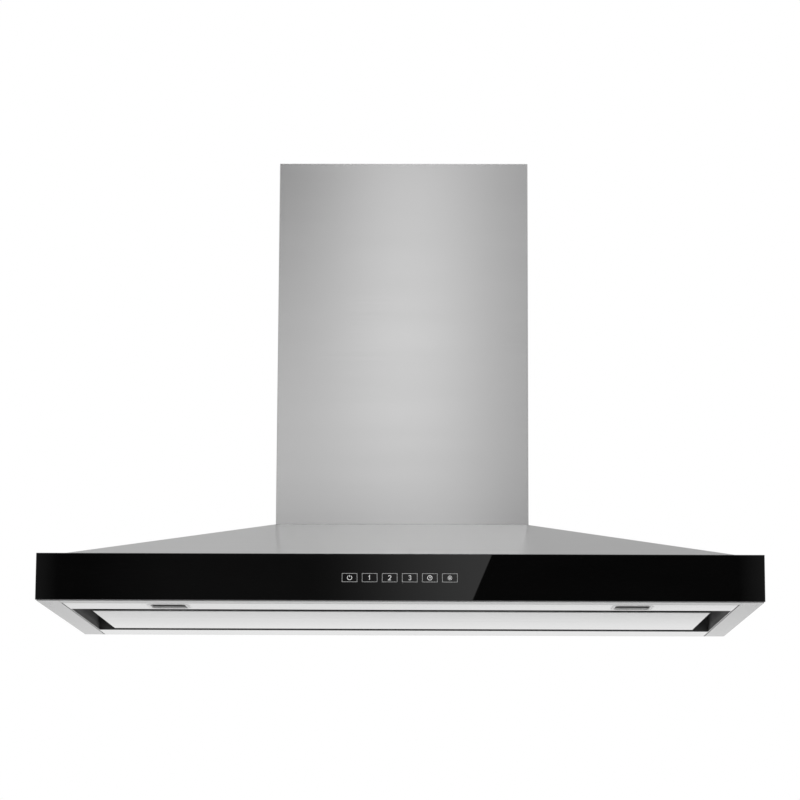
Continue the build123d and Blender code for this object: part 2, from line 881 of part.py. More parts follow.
def box_side_wall(side):
    """Side wall of the blower box with its foot and an upturned edge inside the chimney."""
    along = (box_inner_front, box_inner_rear)
    edge = side * (upper_half - sheet)
    wall = block((side * box_inner_half, side * box_half), along, (canopy_top, box_inner_top))
    wall += block((side * box_half, side * upper_half), along, (canopy_top, canopy_top + sheet))
    wall += block((edge, side * upper_half), along, (canopy_top, canopy_top + upstand_height))
    for seat in box_screw_seats():
        wall -= screw_hole(seat, (0, 0, 1), sheet)
    for seat, outward in chimney_screw_seats():
        wall -= screw_hole(seat, outward, 2 * sheet + slip)
    return wall


def blower_box():
    """Four walls of the box, welded at the corners."""
    front = box_end_wall(box_front, box_inner_front, upper_front)
    front += block((-box_half, box_half), (upper_front, upper_front + sheet),
                   (canopy_top, canopy_top + upstand_height))
    rear = box_end_wall(box_rear, box_inner_rear, box_rear + box_flange)
    return group([front, rear, box_side_wall(-1), box_side_wall(1)])


def blower_box_top():
    plate = block((-box_half, box_half), (box_front, box_rear), (box_inner_top, box_top))
    plate -= post((0, collar_y, box_inner_top), (0, 0, 1), collar_inner, sheet)
    plate -= post((gland_x, capacitor_y, box_inner_top), (0, 0, 1), gland_radius + seam, sheet)
    for seat in volute_screw_seats():
        plate -= screw_hole(seat, (0, 0, 1), sheet)
    for seat in collar_screw_seats():
        plate -= screw_hole(seat, (0, 0, 1), collar_flange_thickness + sheet)
    return plate


def blower_box_screws():
    return group(screw(seat, (0, 0, 1), 2 * sheet) for seat in box_screw_seats())


def scroll_outline(inset, top):
    """Outline of the scroll in the plane across the fan axis, drawn in by the inset."""
    first = (-scroll_offset, -scroll_offset)
    second = (first[0] + scroll_step, first[1])
    third = (second[0], second[1] + scroll_step)
    radius = scroll_radius - inset
    front = outlet_front + inset
    rear = outlet_rear - inset
    start = 180 - math.degrees(math.acos((first[0] - front) / radius))
    tongue = first[1] + radius * math.sin(math.radians(start))
    arcs = [CenterArc(first, radius, start, 180 - start),
            CenterArc(second, radius + scroll_step, 180, 90),
            CenterArc(third, radius + 2 * scroll_step, 270, 90)]
    lines = [Line((rear, third[1]), (rear, top)), Line((rear, top), (front, top)),
             Line((front, top), (front, tongue))]
    return make_face(arcs + lines)


def fan_plane(x):
    """Plane across the fan axis at a place along it, with Y to the right and Z up."""
    return Plane(origin=(x, fan_y, fan_z), x_dir=(0, 1, 0), z_dir=(1, 0, 0))


def scroll_lug_places():
    """Positions of the lugs that join the two halves, as offsets from the fan axis."""
    front = -scroll_offset - scroll_radius
    low = -scroll_offset - scroll_step - scroll_radius
    reach = scroll_lug / 2 - scroll_wall
    return [(front - reach, -scroll_offset), (scroll_step - scroll_offset, low - reach),
            (outlet_rear + reach, scroll_step - scroll_offset)]


def volute(side):
    top = box_inner_top - fan_z
    start = fan_plane(min(0, side * volute_half))
    shell = extrude(start * scroll_outline(0, top), volute_half)
    chamber = fan_plane(min(0, side * (volute_half - scroll_wall)))
    flange = block((0, side * (volute_half + scroll_flange)),
                   (fan_y + outlet_front - scroll_flange, fan_y + outlet_rear + scroll_flange),
                   (box_inner_top - scroll_flange_thickness, box_inner_top))
    shell += flange
    for along, level in scroll_lug_places():
        half = scroll_lug / 2
        shell += block((0, side * scroll_lug_thickness), (fan_y + along - half, fan_y + along + half),
                       (fan_z + level - half, fan_z + level + half))
    shell -= extrude(chamber * scroll_outline(scroll_wall, top), volute_half - scroll_wall)
    inlet = (side * (volute_half - scroll_wall), fan_y, fan_z)
    shell -= post(inlet, (side, 0, 0), inlet_radius, scroll_wall)
    for seat in volute_screw_seats():
        shell -= screw_hole(seat, (0, 0, 1), sheet + scroll_flange_thickness)
    for seat in scroll_screw_seats():
        shell -= screw_hole(seat, (-1, 0, 0), 2 * scroll_lug_thickness)
    if side > 0:
        for seat in motor_screw_seats():
            shell -= screw_hole(seat, (1, 0, 0), motor_bracket_plate + scroll_wall)
    return shell


def scroll_screw_seats():
    """Seats of the screws through the lugs of the two halves."""
    reach = scroll_lug / 2 - screw_radius - scroll_wall
    front, low, rear = scroll_lug_places()
    outward = [(front[0] - reach, front[1]), (low[0], low[1] - reach), (rear[0] + reach, rear[1])]
    return [(-scroll_lug_thickness, fan_y + along, fan_z + level) for along, level in outward]


def volute_screws():
    hanging = [screw(seat, (0, 0, 1), sheet + scroll_flange_thickness) for seat in volute_screw_seats()]
    joining = [screw(seat, (-1, 0, 0), 2 * scroll_lug_thickness) for seat in scroll_screw_seats()]
    return group(hanging + joining)


def impeller():
    half = fan_width / 2
    fan = fan_plane(-fan_disc / 2) * Pos(0, 0, fan_disc / 2) * Cylinder(fan_radius, fan_disc)
    for end in (-1, 1):
        middle = fan_plane(end * (half - fan_ring / 2))
        fan += middle * (Cylinder(fan_radius, fan_ring) - Cylinder(blade_inner, fan_ring))
    radius = (blade_inner + fan_radius) / 2
    chord = (blade_depth - fan_disc) / math.cos(math.radians(blade_tilt))
    blade = Pos(radius, 0, 0) * Rot(0, 0, blade_tilt) * Box(chord, blade_thickness, fan_width)
    blade = fan_plane(0) * blade
    axis = Axis((0, fan_y, fan_z), (1, 0, 0))
    fan += [blade.rotate(axis, index * 360 / blade_count) for index in range(blade_count)]
    hub_end = motor_front - sheet
    fan += post((-hub_length, fan_y, fan_z), (1, 0, 0), hub_radius, hub_length + hub_end)
    return fan - post((-hub_length, fan_y, fan_z), (1, 0, 0), shaft_radius, hub_length + hub_end)


# Motor
def motor_body():
    length = motor_rear - motor_front
    can = post((motor_front, fan_y, fan_z), (1, 0, 0), motor_radius, length)
    can -= post((motor_front, fan_y, fan_z), (1, 0, 0), bearing_radius, length - motor_end_wall)
    middle = motor_front + (length - motor_end_wall) / 2
    chamber = rotor_length + 2 * rotor_gap
    return can - post((middle - chamber / 2, fan_y, fan_z), (1, 0, 0), rotor_radius + rotor_gap, chamber)


def motor_bearings():
    far = motor_rear - motor_end_wall - bearing_width
    rings = []
    for start in (motor_front, far):
        face = (start, fan_y, fan_z)
        ring = post(face, (1, 0, 0), bearing_radius, bearing_width)
        rings.append(ring - post(face, (1, 0, 0), shaft_radius + running_play, bearing_width))
    return group(rings)


def motor_shaft():
    end = motor_rear - motor_end_wall - rotor_gap
    return post((-hub_length, fan_y, fan_z), (1, 0, 0), shaft_radius, hub_length + end)


def motor_rotor():
    middle = motor_front + (motor_rear - motor_front - motor_end_wall) / 2
    start = (middle - rotor_length / 2, fan_y, fan_z)
    core = post(start, (1, 0, 0), rotor_radius, rotor_length)
    return core - post(start, (1, 0, 0), shaft_radius, rotor_length)


def motor_arm_angles():
    return [90 + index * 360 / motor_arm_count for index in range(motor_arm_count)]


def motor_screw_seats():
    """Seats of the screws at the ends of the motor bracket's arms."""
    radius = inlet_radius + motor_arm_reach / 2
    seats = []
    for angle in motor_arm_angles():
        along = radius * math.cos(math.radians(angle))
        level = radius * math.sin(math.radians(angle))
        seats.append((motor_rear + motor_bracket_plate, fan_y + along, fan_z + level))
    return seats


def motor_bracket():
    plane = fan_plane(motor_rear + motor_bracket_plate / 2)
    plate = plane * Cylinder(motor_bracket_hub, motor_bracket_plate)
    reach = inlet_radius + motor_arm_reach
    for angle in motor_arm_angles():
        arm = Pos(reach / 2, 0, 0) * Box(reach, motor_arm_width, motor_bracket_plate)
        plate += plane * Rot(0, 0, angle) * arm
    for seat in motor_screw_seats():
        plate -= screw_hole(seat, (1, 0, 0), motor_bracket_plate)
    return plate


def motor_screws():
    return group(screw(seat, (1, 0, 0), motor_bracket_plate + scroll_wall) for seat in motor_screw_seats())


def run_capacitor():
    can = post((capacitor_x, capacitor_y, capacitor_low), (0, 0, 1), capacitor_radius, capacitor_length)
    return fillet(can.edges().sort_by(Axis.Z)[-1], bend)


def capacitor_clip():
    low = capacitor_low + (capacitor_length - clip_width) / 2
    start = (capacitor_x, capacitor_y, low)
    foot = block((capacitor_x - capacitor_radius / 2, capacitor_x + capacitor_radius / 2),
                 (box_inner_front, capacitor_y), (low, low + clip_width))
    band = post(start, (0, 0, 1), capacitor_radius + running_play + clip_thickness, clip_width) + foot
    return band - post(start, (0, 0, 1), capacitor_radius + running_play, clip_width)


# Duct collar and damper
def duct_collar():
    upward = (0, 0, 1)
    foot = (0, collar_y, box_top)
    tube = post(foot, upward, collar_radius, collar_length)
    tube += post(foot, upward, collar_radius + collar_flange, collar_flange_thickness)
    tube -= post(foot, upward, collar_inner, collar_length)
    seat_top = damper_z - damper_plate / 2 - damper_lip_gap
    ring = post((0, collar_y, seat_top), (0, 0, -1), collar_inner, damper_seat)
    tube += ring - post((0, collar_y, seat_top), (0, 0, -1), collar_inner - damper_seat, damper_seat)
    tube -= block((-collar_inner, collar_inner), (collar_y - damper_knuckle_radius - damper_play,
                  collar_y + damper_knuckle_radius + damper_play), (seat_top - damper_seat, seat_top))
    tube -= post((-collar_radius, collar_y, damper_z), (1, 0, 0), damper_spindle_radius, 2 * collar_radius)
    for seat in collar_screw_seats():
        tube -= screw_hole(seat, upward, collar_flange_thickness)
    return tube


def collar_screws():
    return group(screw(seat, (0, 0, 1), collar_flange_thickness + sheet) for seat in collar_screw_seats())


def damper_spindle():
    half = collar_radius - damper_play
    return post((-half, collar_y, damper_z), (1, 0, 0), damper_spindle_radius, 2 * half)


def damper_flap(side):
    """Half a disc that turns on the spindle, with two knuckles that pass beside the other flap's."""
    radius = collar_inner - damper_play
    plate = post((0, collar_y, damper_z - damper_plate / 2), (0, 0, 1), radius, damper_plate)
    near = collar_y + side * (damper_knuckle_radius + damper_cutback)
    keep = block((-radius, radius), (near, collar_y + side * radius),
                 (damper_z - damper_plate, damper_z + damper_plate))
    flap = plate & keep
    for end in (-1, 1):
        centre = end * radius / 2 + side * (damper_knuckle_length / 2 + slip)
        across = (centre - damper_knuckle_length / 2, centre + damper_knuckle_length / 2)
        knuckle = (across[0], collar_y, damper_z)
        flap += post(knuckle, (1, 0, 0), damper_knuckle_radius, damper_knuckle_length)
        flap += block(across, (collar_y, near), (damper_z - damper_plate / 2, damper_z + damper_plate / 2))
    bore = damper_spindle_radius + running_play
    return flap - post((-radius, collar_y, damper_z), (1, 0, 0), bore, 2 * radius)


def cable_gland():
    seat = (gland_x, capacitor_y, box_top)
    body = post(seat, (0, 0, 1), gland_flange_radius, gland_flange)
    tail = (gland_x, capacitor_y, box_inner_top - gland_tail)
    body += post(tail, (0, 0, 1), gland_radius, gland_tail + sheet)
    return body - post((gland_x, capacitor_y, box_inner_top), (0, 0, 1), gland_bore, sheet + gland_flange)


parts = {
    "canopy_shell": canopy_shell(),
    "glass_front": glass_front(),
    "glass_tape": glass_tape(),
    "touch_pads": touch_pads(),
    "touch_board": touch_board(),
    "control_carrier": control_carrier(),
    "carrier_screws": carrier_screws(),
    "filter_pan": filter_pan(),
    "suction_panel": suction_panel(),
    "panel_hinge_brackets": panel_hinge_brackets(),
    "hinge_screws": hinge_screws(),
    "panel_hinge_lugs": panel_hinge_lugs(),
    "panel_hinge_pins": panel_hinge_pins(),
    "magnet_brackets": magnet_brackets(),
    "panel_magnets": panel_magnets(),
    "lamp_bezels": lamp_bezels(),
    "lamp_lenses": lamp_lenses(),
    "lamp_housings": lamp_housings(),
    "lamp_boards": lamp_boards(),
    "power_box": power_box(),
    "power_box_nuts": power_box_nuts(),
    "power_board": power_board(),
    "power_box_lid": power_box_lid(),
    "lead_lamps": lead_lamps(),
    "lead_keys": lead_keys(),
    "lead_motor": lead_motor(),
    "lead_mains": lead_mains(),
    "lower_chimney": lower_chimney(),
    "upper_chimney": upper_chimney(),
    "chimney_bracket": chimney_bracket(),
    "bracket_screws": bracket_screws(),
    "chimney_screws": chimney_screws(),
    "blower_box": blower_box(),
    "blower_box_top": blower_box_top(),
    "blower_box_screws": blower_box_screws(),
    "volute_screws": volute_screws(),
    "impeller": impeller(),
    "motor_body": motor_body(),
    "motor_bearings": motor_bearings(),
    "motor_shaft": motor_shaft(),
    "motor_rotor": motor_rotor(),
    "motor_bracket": motor_bracket(),
    "motor_screws": motor_screws(),
    "run_capacitor": run_capacitor(),
    "capacitor_clip": capacitor_clip(),
    "duct_collar": duct_collar(),
    "collar_screws": collar_screws(),
    "damper_spindle": damper_spindle(),
    "cable_gland": cable_gland(),
}
for name, side in (("left", -1), ("right", 1)):
    parts["filter_frame_" + name] = filter_frame(side)
    parts["filter_mesh_" + name] = filter_mesh(side)
    parts["filter_latch_" + name] = filter_latch(side)
    parts["volute_" + name] = volute(side)
for name, side in (("front", -1), ("rear", 1)):
    parts["damper_flap_" + name] = damper_flap(side)

os.makedirs("parts", exist_ok=True)
for name, shape in parts.items():
    export_step(shape, os.path.join("parts", name + ".step"))
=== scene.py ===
import json
import math

import bmesh
import bpy
from mathutils import Matrix, Vector

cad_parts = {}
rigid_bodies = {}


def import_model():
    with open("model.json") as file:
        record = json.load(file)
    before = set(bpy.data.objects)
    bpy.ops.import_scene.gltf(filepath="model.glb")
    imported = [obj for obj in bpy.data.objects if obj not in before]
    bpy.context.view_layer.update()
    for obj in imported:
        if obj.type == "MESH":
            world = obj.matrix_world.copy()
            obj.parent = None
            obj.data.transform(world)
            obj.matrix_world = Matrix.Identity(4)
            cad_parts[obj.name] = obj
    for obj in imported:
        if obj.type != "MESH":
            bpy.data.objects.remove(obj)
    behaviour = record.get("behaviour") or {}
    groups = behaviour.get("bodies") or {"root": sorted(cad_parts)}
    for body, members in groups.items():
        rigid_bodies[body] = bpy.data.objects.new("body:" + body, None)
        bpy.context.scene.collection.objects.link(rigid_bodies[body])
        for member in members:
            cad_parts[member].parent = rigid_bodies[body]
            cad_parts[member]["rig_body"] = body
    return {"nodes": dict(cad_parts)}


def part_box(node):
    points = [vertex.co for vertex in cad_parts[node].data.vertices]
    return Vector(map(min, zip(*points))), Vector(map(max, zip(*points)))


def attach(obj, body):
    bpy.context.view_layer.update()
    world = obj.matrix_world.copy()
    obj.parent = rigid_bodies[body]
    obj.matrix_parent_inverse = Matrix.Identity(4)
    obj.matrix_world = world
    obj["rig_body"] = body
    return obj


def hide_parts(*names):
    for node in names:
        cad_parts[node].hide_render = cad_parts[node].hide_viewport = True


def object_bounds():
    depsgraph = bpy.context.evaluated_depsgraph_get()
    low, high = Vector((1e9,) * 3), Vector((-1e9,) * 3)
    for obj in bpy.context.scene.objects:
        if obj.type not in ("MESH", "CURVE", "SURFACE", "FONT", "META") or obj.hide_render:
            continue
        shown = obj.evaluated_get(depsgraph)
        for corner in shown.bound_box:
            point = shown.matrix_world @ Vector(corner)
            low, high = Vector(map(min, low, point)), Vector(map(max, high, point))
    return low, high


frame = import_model()
cad_low, cad_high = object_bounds()
nodes = frame["nodes"]
scene = bpy.context.scene
scene.view_settings.view_transform = "Standard"

MM = 0.001
UP = Vector((0, 0, 1))
FORWARD = Vector((0, -1, 0))
WHITE = (1, 1, 1, 1)

# Camera, fitted to the corners of the canopy and the chimney
IMAGE_SIDE = 800
FOCAL_PIXELS = 2833.2
SENSOR = 36.0
CAMERA_PLACE = Vector((0.0449, -3.9750, -0.4196))
CAMERA_YAW = 0.0131
CAMERA_PITCH = 0.1661
CAMERA_ROLL = -0.0045
VIEW_RANGE = 100.0

# Folded sheet
FOLD_RADIUS = 0.6 * MM
WALL = 0.9 * MM             # outer layer of a sheet wall
SLOT_REACH = 40 * MM        # how far the painted shade reaches between the walls of a slot
SLOT_DARK = 0.85            # share of open sky where the painted shade in a slot is darkest
SLOT_CLEAR = 0.985          # share of open sky where the painted shade begins
PAN_LIP = 10 * MM           # lip of the pan over the rails
RIM_WIDTH = 27.3 * MM       # rails of the canopy beside the pan
CUT_HEIGHT = 2 * MM         # inner edges of the rails in the seams beside the pan, which get painted shade and a rough finish
CUT_LAYER = 0.1 * MM
# tone of the painted shade in the seams beside the pan
SEAM_SHADE_TONE = 0.1
CUT_ROUGHNESS = 0.9

# Brush lines of the steel, with cells per metre along and across the lines
LINE_CELLS = (4, 2200, 1)
DRIFT_CELLS = (0.8, 30, 1)
DRIFT_SHARE = 0.15
LINE_CONTRAST = 0.03
HIGHLIGHT_STRETCH = 0.6
LEVEL_TILT = 0.99           # upward part of the normal on level faces
SLOPE_TILT = 0.5            # and on the slopes

# Lamp lenses
LENS_CORNER = 6.7 * MM
RIB_HEIGHT = 0.25 * MM
RIB_STEPS = 96

# Touch keys printed on the glass
KEY_COUNT = 6
KEY_PITCH = 24.7 * MM
KEY_WIDTH = 18.4 * MM
KEY_HEIGHT = 10.3 * MM
KEY_LINE = 0.5 * MM
KEY_DROP = 0.6 * MM         # middle of the keys below the middle of the glass
ICON_SIZE = 0.27 * KEY_HEIGHT
ICON_LINE = 0.65 * MM
RAY_COUNT = 8               # rays of the lamp symbol
MITRE_LIMIT = 0.4
INK = 0.05 * MM
FRAME_TONE = 0.32
SYMBOL_TONE = 0.7

# Expanded mesh of the grease filters
CELL_LENGTH = 12.0 * MM
CELL_WIDTH = 7.0 * MM
STRAND = 0.9 * MM

# Screws, with the head's outline in shares of its radius and of its height below the top
HEAD_HEIGHT = 2.0 * MM
HEAD_OUTLINE = ((1, 1), (1, 0.55), (0.94, 0.25), (0.8, 0.06), (0.68, 0))
SHANK_SHARE = 0.55
CROSS_REACH = 1.9 * MM
CROSS_WIDTH = 0.9 * MM
CROSS_DEPTH = 1.1 * MM
CROSS_TAPER = 0.8
TURN_STEP = 0.7             # turn of the cross from screw to screw, in radians
CIRCLE_STEPS = 32
SHARP_EDGE = math.radians(35)
WELD = 0.001 * MM

# Floor and lamps
HOOD_MIDDLE = (cad_low.y + cad_high.y) / 2
WORLD_LIGHT = 0.6
FLOOR_LEVEL = -0.65
FLOOR_RADIUS = 2.6
FLOOR_CORE = 0.9            # where the floor begins to fade
LAMP_SIZE = 1.6
LAMP_TARGET = Vector((0, HOOD_MIDDLE, 0.1))

# Cards behind the camera that the glass and the steel mirror
CARD_DEPTH = -4.6
CARD_STEP = 0.05            # from card to card
CARD_SPLIT = 0.52           # between the band that the glass mirrors and the softbox above it
CARD_TOP = 4.5
SOFTBOX_HALF = 1.6
SOFTBOX_MIDDLE = -0.035
SOFTBOX_SPREAD = 0.23
FLAG_LOW = 0.22
FLAG_HALF = 1.5
FLAG_MIDDLE = -0.06
GLASS_CARD_LEFT = -0.9
SLANT_PLACE = 0.063         # slanted edge of the light in the glass: its place at one level
SLANT_LEVEL = 0.12
SLANT_LEAN = 0.424          # and how far it leans to the right for each metre upwards

# Soft cards at both ends of the hood and above it
SIDE_DISTANCE = 3.2
SIDE_HALF = 2.5
SIDE_LOW = -0.6
SIDE_TOP = 2.2
SIDE_MIDDLE = -0.12
SIDE_SPREAD = 0.3
SIDE_GAIN = 0.5
CEILING_LEVEL = 2.2
CEILING_HALF = 4.0
CEILING_FRONT = -1.0
CEILING_REAR = 8.0


# Shader tools
def new_material(name):
    """A material with a principled shader, and the tree to build in."""
    material = bpy.data.materials.new(name)
    material.use_nodes = True
    tree = material.node_tree
    return material, tree, tree.nodes["Principled BSDF"]


def set_inputs(tree, node, inputs):
    """Sets a node's inputs to numbers, or links them to sockets."""
    for key, value in inputs.items():
        if isinstance(value, bpy.types.NodeSocket):
            tree.links.new(value, node.inputs[key])
        else:
            node.inputs[key].default_value = value


def add(tree, kind, inputs=None, **settings):
    """A new node with settings, and with inputs that are numbers or sockets."""
    node = tree.nodes.new(kind)
    for name, value in settings.items():
        setattr(node, name, value)
    set_inputs(tree, node, inputs or {})
    return node


def math_node(tree, operation, first, second=0.0):
    """The result of one operation on numbers or sockets."""
    return add(tree, "ShaderNodeMath", {0: first, 1: second}, operation=operation).outputs[0]


def place(tree):
    """Coordinates on the object, in metres."""
    return add(tree, "ShaderNodeTexCoord").outputs["Object"]


def split(tree, vector):
    """The parts of a vector, by the names X, Y and Z."""
    return add(tree, "ShaderNodeSeparateXYZ", {0: vector}).outputs


def scaled(tree, vector, scale):
    """A vector with each of its parts scaled."""
    return add(tree, "ShaderNodeMapping", {"Vector": vector, "Scale": scale}).outputs["Vector"]


def noise(tree, vector, scale=1.0, detail=3.0):
    """Smooth noise about one half."""
    inputs = {"Vector": vector, "Scale": scale, "Detail": detail}
    return add(tree, "ShaderNodeTexNoise", inputs).outputs["Fac"]


def mix(tree, share, first, second):
    """A number that goes from the first to the second as the share goes from nothing to one."""
    return add(tree, "ShaderNodeMix", {0: share, 2: first, 3: second}).outputs[0]


def between(tree, factor, low, high, start=0.3, end=0.7, rise="LINEAR"):
    """A number that goes from low to high as the factor goes from start to end."""
    inputs = {"Value": factor, "From Min": start, "From Max": end, "To Min": low, "To Max": high}
    return add(tree, "ShaderNodeMapRange", inputs, interpolation_type=rise).outputs["Result"]


def tones(tree, factor, dark, light, start=0.3, end=0.7):
    """A colour that goes from dark to light as the factor goes from start to end."""
    ramp = add(tree, "ShaderNodeValToRGB", {"Fac": factor})
    for stop, position, colour in zip(ramp.color_ramp.elements, (start, end), (dark, light)):
        stop.position = position
        stop.color = (*colour, 1)
    return ramp.outputs["Color"]


def shaded(tree, colour, shade):
    """A colour made darker by a shade between nothing and one."""
    inputs = {0: 1.0, 6: colour, 7: shade}
    return add(tree, "ShaderNodeMix", inputs, data_type="RGBA", blend_type="MULTIPLY").outputs[2]


def bump(tree, height, strength, distance, edge=None):
    """A normal from a height map, with the edges of the piece rounded by a radius where one is given."""
    inputs = {"Height": height, "Strength": strength, "Distance": distance}
    if edge is not None:
        inputs["Normal"] = add(tree, "ShaderNodeBevel", {"Radius": edge}, samples=4).outputs["Normal"]
    return add(tree, "ShaderNodeBump", inputs).outputs["Normal"]


def grey(level, tint=0.0):
    """A grey, with a touch of blue where the tint is above zero."""
    return (level, level, level * (1 + tint))


def apply(material, *names):
    """Gives nodes a material as their only one."""
    for name in names:
        data = nodes[name].data
        data.materials.clear()
        data.materials.append(material)


# Brushed steel
def steel_grain(tree, level):
    """Coordinates along and across the brush lines, which run from front to rear on the underside's rails."""
    x, y, z = split(tree, place(tree))
    pan_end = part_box("filter_pan")[1].x - PAN_LIP
    outer = math_node(tree, "GREATER_THAN", math_node(tree, "ABSOLUTE", x), pan_end)
    rail = math_node(tree, "MULTIPLY", outer, level)
    across = mix(tree, rail, mix(tree, level, z, y), x)
    along = mix(tree, rail, mix(tree, level, math_node(tree, "ADD", x, y), x), y)
    return add(tree, "ShaderNodeCombineXYZ", {0: along, 1: across}).outputs[0]


def inside_walls(tree, name):
    """One inside the outer walls of a node, and nothing on the walls themselves."""
    low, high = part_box(name)
    middle, half = (low + high) / 2, (high - low) / 2
    offset = add(tree, "ShaderNodeVectorMath", {0: place(tree), 1: middle}, operation="SUBTRACT").outputs[0]
    parts = split(tree, offset)
    across = math_node(tree, "LESS_THAN", math_node(tree, "ABSOLUTE", parts["X"]), half.x - WALL)
    along = math_node(tree, "LESS_THAN", math_node(tree, "ABSOLUTE", parts["Y"]), half.y - WALL)
    return math_node(tree, "MULTIPLY", across, along)


def painted_recess_shade(tree, colour, deepest_painted_shade, tray):
    """Paints shade into a colour deep in a slot, where little light comes out, but not inside a tray that is
    named.
    """
    open_sky = add(tree, "ShaderNodeAmbientOcclusion", {"Distance": SLOT_REACH}, samples=8).outputs["AO"]
    if tray:
        open_sky = math_node(tree, "MAXIMUM", open_sky, inside_walls(tree, tray))
    shade = between(tree, open_sky, low=deepest_painted_shade, high=1.0, start=SLOT_DARK, end=SLOT_CLEAR)
    return shaded(tree, colour, shade)


def rail_edges(tree):
    """One on the inner edges of the canopy's rails, in the seams beside the pan where shade is painted, and
    nothing elsewhere.
    """
    low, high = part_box("canopy_shell")
    spot = split(tree, place(tree))
    past = math_node(tree, "SUBTRACT", math_node(tree, "ABSOLUTE", spot["X"]), high.x - RIM_WIDTH)
    on_edge = math_node(tree, "LESS_THAN", math_node(tree, "ABSOLUTE", past), CUT_LAYER)
    on_rail = math_node(tree, "LESS_THAN", spot["Z"], low.z + CUT_HEIGHT)
    return math_node(tree, "MULTIPLY", on_edge, on_rail)


def brushed_steel(name, node, tone, upright, sloped, front, rear, deepest_painted_shade=None, tray=None, seam_shade_edges=None):
    """Sheet with brush lines along its length, whose highlights stretch across the lines.

    The roughness is given for upright faces, for slopes, and for level faces at the node's front and rear.
    """
    material, tree, shader = new_material(name)
    low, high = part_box(node)
    depth = split(tree, place(tree))["Y"]
    normal = add(tree, "ShaderNodeNewGeometry").outputs["Normal"]
    tilt = math_node(tree, "ABSOLUTE", split(tree, normal)["Z"])
    level = math_node(tree, "GREATER_THAN", tilt, LEVEL_TILT)
    slope = math_node(tree, "SUBTRACT", math_node(tree, "GREATER_THAN", tilt, SLOPE_TILT), level)
    not_level = math_node(tree, "SUBTRACT", 1.0, level)
    grain = steel_grain(tree, level)
    lines = noise(tree, scaled(tree, grain, LINE_CELLS), detail=4.0)
    drift = noise(tree, scaled(tree, grain, DRIFT_CELLS), detail=2.0)
    mixed = mix(tree, DRIFT_SHARE, lines, drift)
    colour = tones(tree, mixed, grey(tone * (1 - LINE_CONTRAST)), grey(tone * (1 + LINE_CONTRAST)))
    # painted shade deep in the slots, by how much open sky each spot sees
    if deepest_painted_shade is not None:
        colour = painted_recess_shade(tree, colour, deepest_painted_shade, tray)
    wiped = between(tree, depth, low=front, high=rear, start=low.y, end=high.y)
    roughness = mix(tree, level, mix(tree, slope, upright, sloped), wiped)
    # painted shade in the seams beside the pan, where the edges are also made rough
    if seam_shade_edges:
        seam_shade_mask = seam_shade_edges(tree)
        colour = shaded(tree, colour, between(tree, seam_shade_mask, low=1.0, high=SEAM_SHADE_TONE, start=0.0, end=1.0))
        roughness = mix(tree, seam_shade_mask, roughness, CUT_ROUGHNESS)
    uneven = between(tree, drift, low=-0.008, high=0.012)
    set_inputs(tree, shader, {
        "Metallic": 1.0,
        "Anisotropic": HIGHLIGHT_STRETCH,
        "Base Color": colour,
        "Roughness": math_node(tree, "ADD", roughness, uneven),
        "Normal": bump(tree, lines, strength=0.05, distance=0.05 * MM, edge=FOLD_RADIUS),
        "Tangent": add(tree, "ShaderNodeCombineXYZ", {1: level, 2: not_level}).outputs[0],
    })
    return material


# Other materials
def black_glass():
    """Polished glass printed black behind, with the faint haze of wiping."""
    material, tree, shader = new_material("black_glass")
    haze = noise(tree, scaled(tree, place(tree), (9, 30, 30)), detail=5.0)
    set_inputs(tree, shader, {
        "IOR": 1.5,
        "Base Color": tones(tree, haze, dark=grey(0.0007), light=grey(0.0011)),
        "Roughness": between(tree, haze, low=0.004, high=0.012),
    })
    return material


def key_ink(name, tone):
    """Pale screen print with the uneven cover of a thin coat."""
    material, tree, shader = new_material(name)
    cover = noise(tree, place(tree), scale=2500.0, detail=2.0)
    set_inputs(tree, shader, {
        "Base Color": tones(tree, cover, dark=grey(tone * 0.92), light=grey(tone * 1.08)),
        "Roughness": between(tree, cover, low=0.45, high=0.6),
    })
    return material


def galvanised():
    """Zinc coated sheet with its crystal spangle."""
    material, tree, shader = new_material("galvanised")
    cells = add(tree, "ShaderNodeTexVoronoi", {"Vector": place(tree), "Scale": 150.0})
    spangle = add(tree, "ShaderNodeSeparateColor", {0: cells.outputs["Color"]}).outputs[0]
    cloud = noise(tree, place(tree), scale=14.0)
    mixed = mix(tree, share=0.5, first=spangle, second=cloud)
    set_inputs(tree, shader, {
        "Metallic": 1.0,
        "Base Color": tones(tree, mixed, dark=grey(0.46, 0.03), light=grey(0.54, 0.03), start=0.2, end=0.8),
        "Roughness": between(tree, spangle, low=0.38, high=0.46, start=0.0, end=1.0),
        "Normal": bump(tree, cloud, strength=0.08, distance=0.2 * MM, edge=FOLD_RADIUS),
    })
    return material


def bright_zinc():
    """Plated steel of screws, pins and shafts."""
    material, tree, shader = new_material("bright_zinc")
    wear = noise(tree, place(tree), scale=900.0, detail=4.0)
    set_inputs(tree, shader, {
        "Metallic": 1.0,
        "Base Color": tones(tree, wear, dark=(0.5, 0.5, 0.48), light=(0.68, 0.68, 0.66)),
        "Roughness": between(tree, wear, low=0.22, high=0.36),
        "Normal": bump(tree, wear, strength=0.1, distance=0.05 * MM),
    })
    return material


def laminated_steel():
    """Stacked rotor plates seen edge on."""
    material, tree, shader = new_material("laminated_steel")
    waves = {"Vector": place(tree), "Scale": 320.0, "Distortion": 0.3}
    plates = add(tree, "ShaderNodeTexWave", waves, bands_direction="X").outputs["Fac"]
    set_inputs(tree, shader, {
        "Metallic": 1.0,
        "Roughness": 0.42,
        "Base Color": tones(tree, plates, dark=grey(0.2), light=grey(0.42)),
        "Normal": bump(tree, plates, strength=0.3, distance=0.1 * MM),
    })
    return material


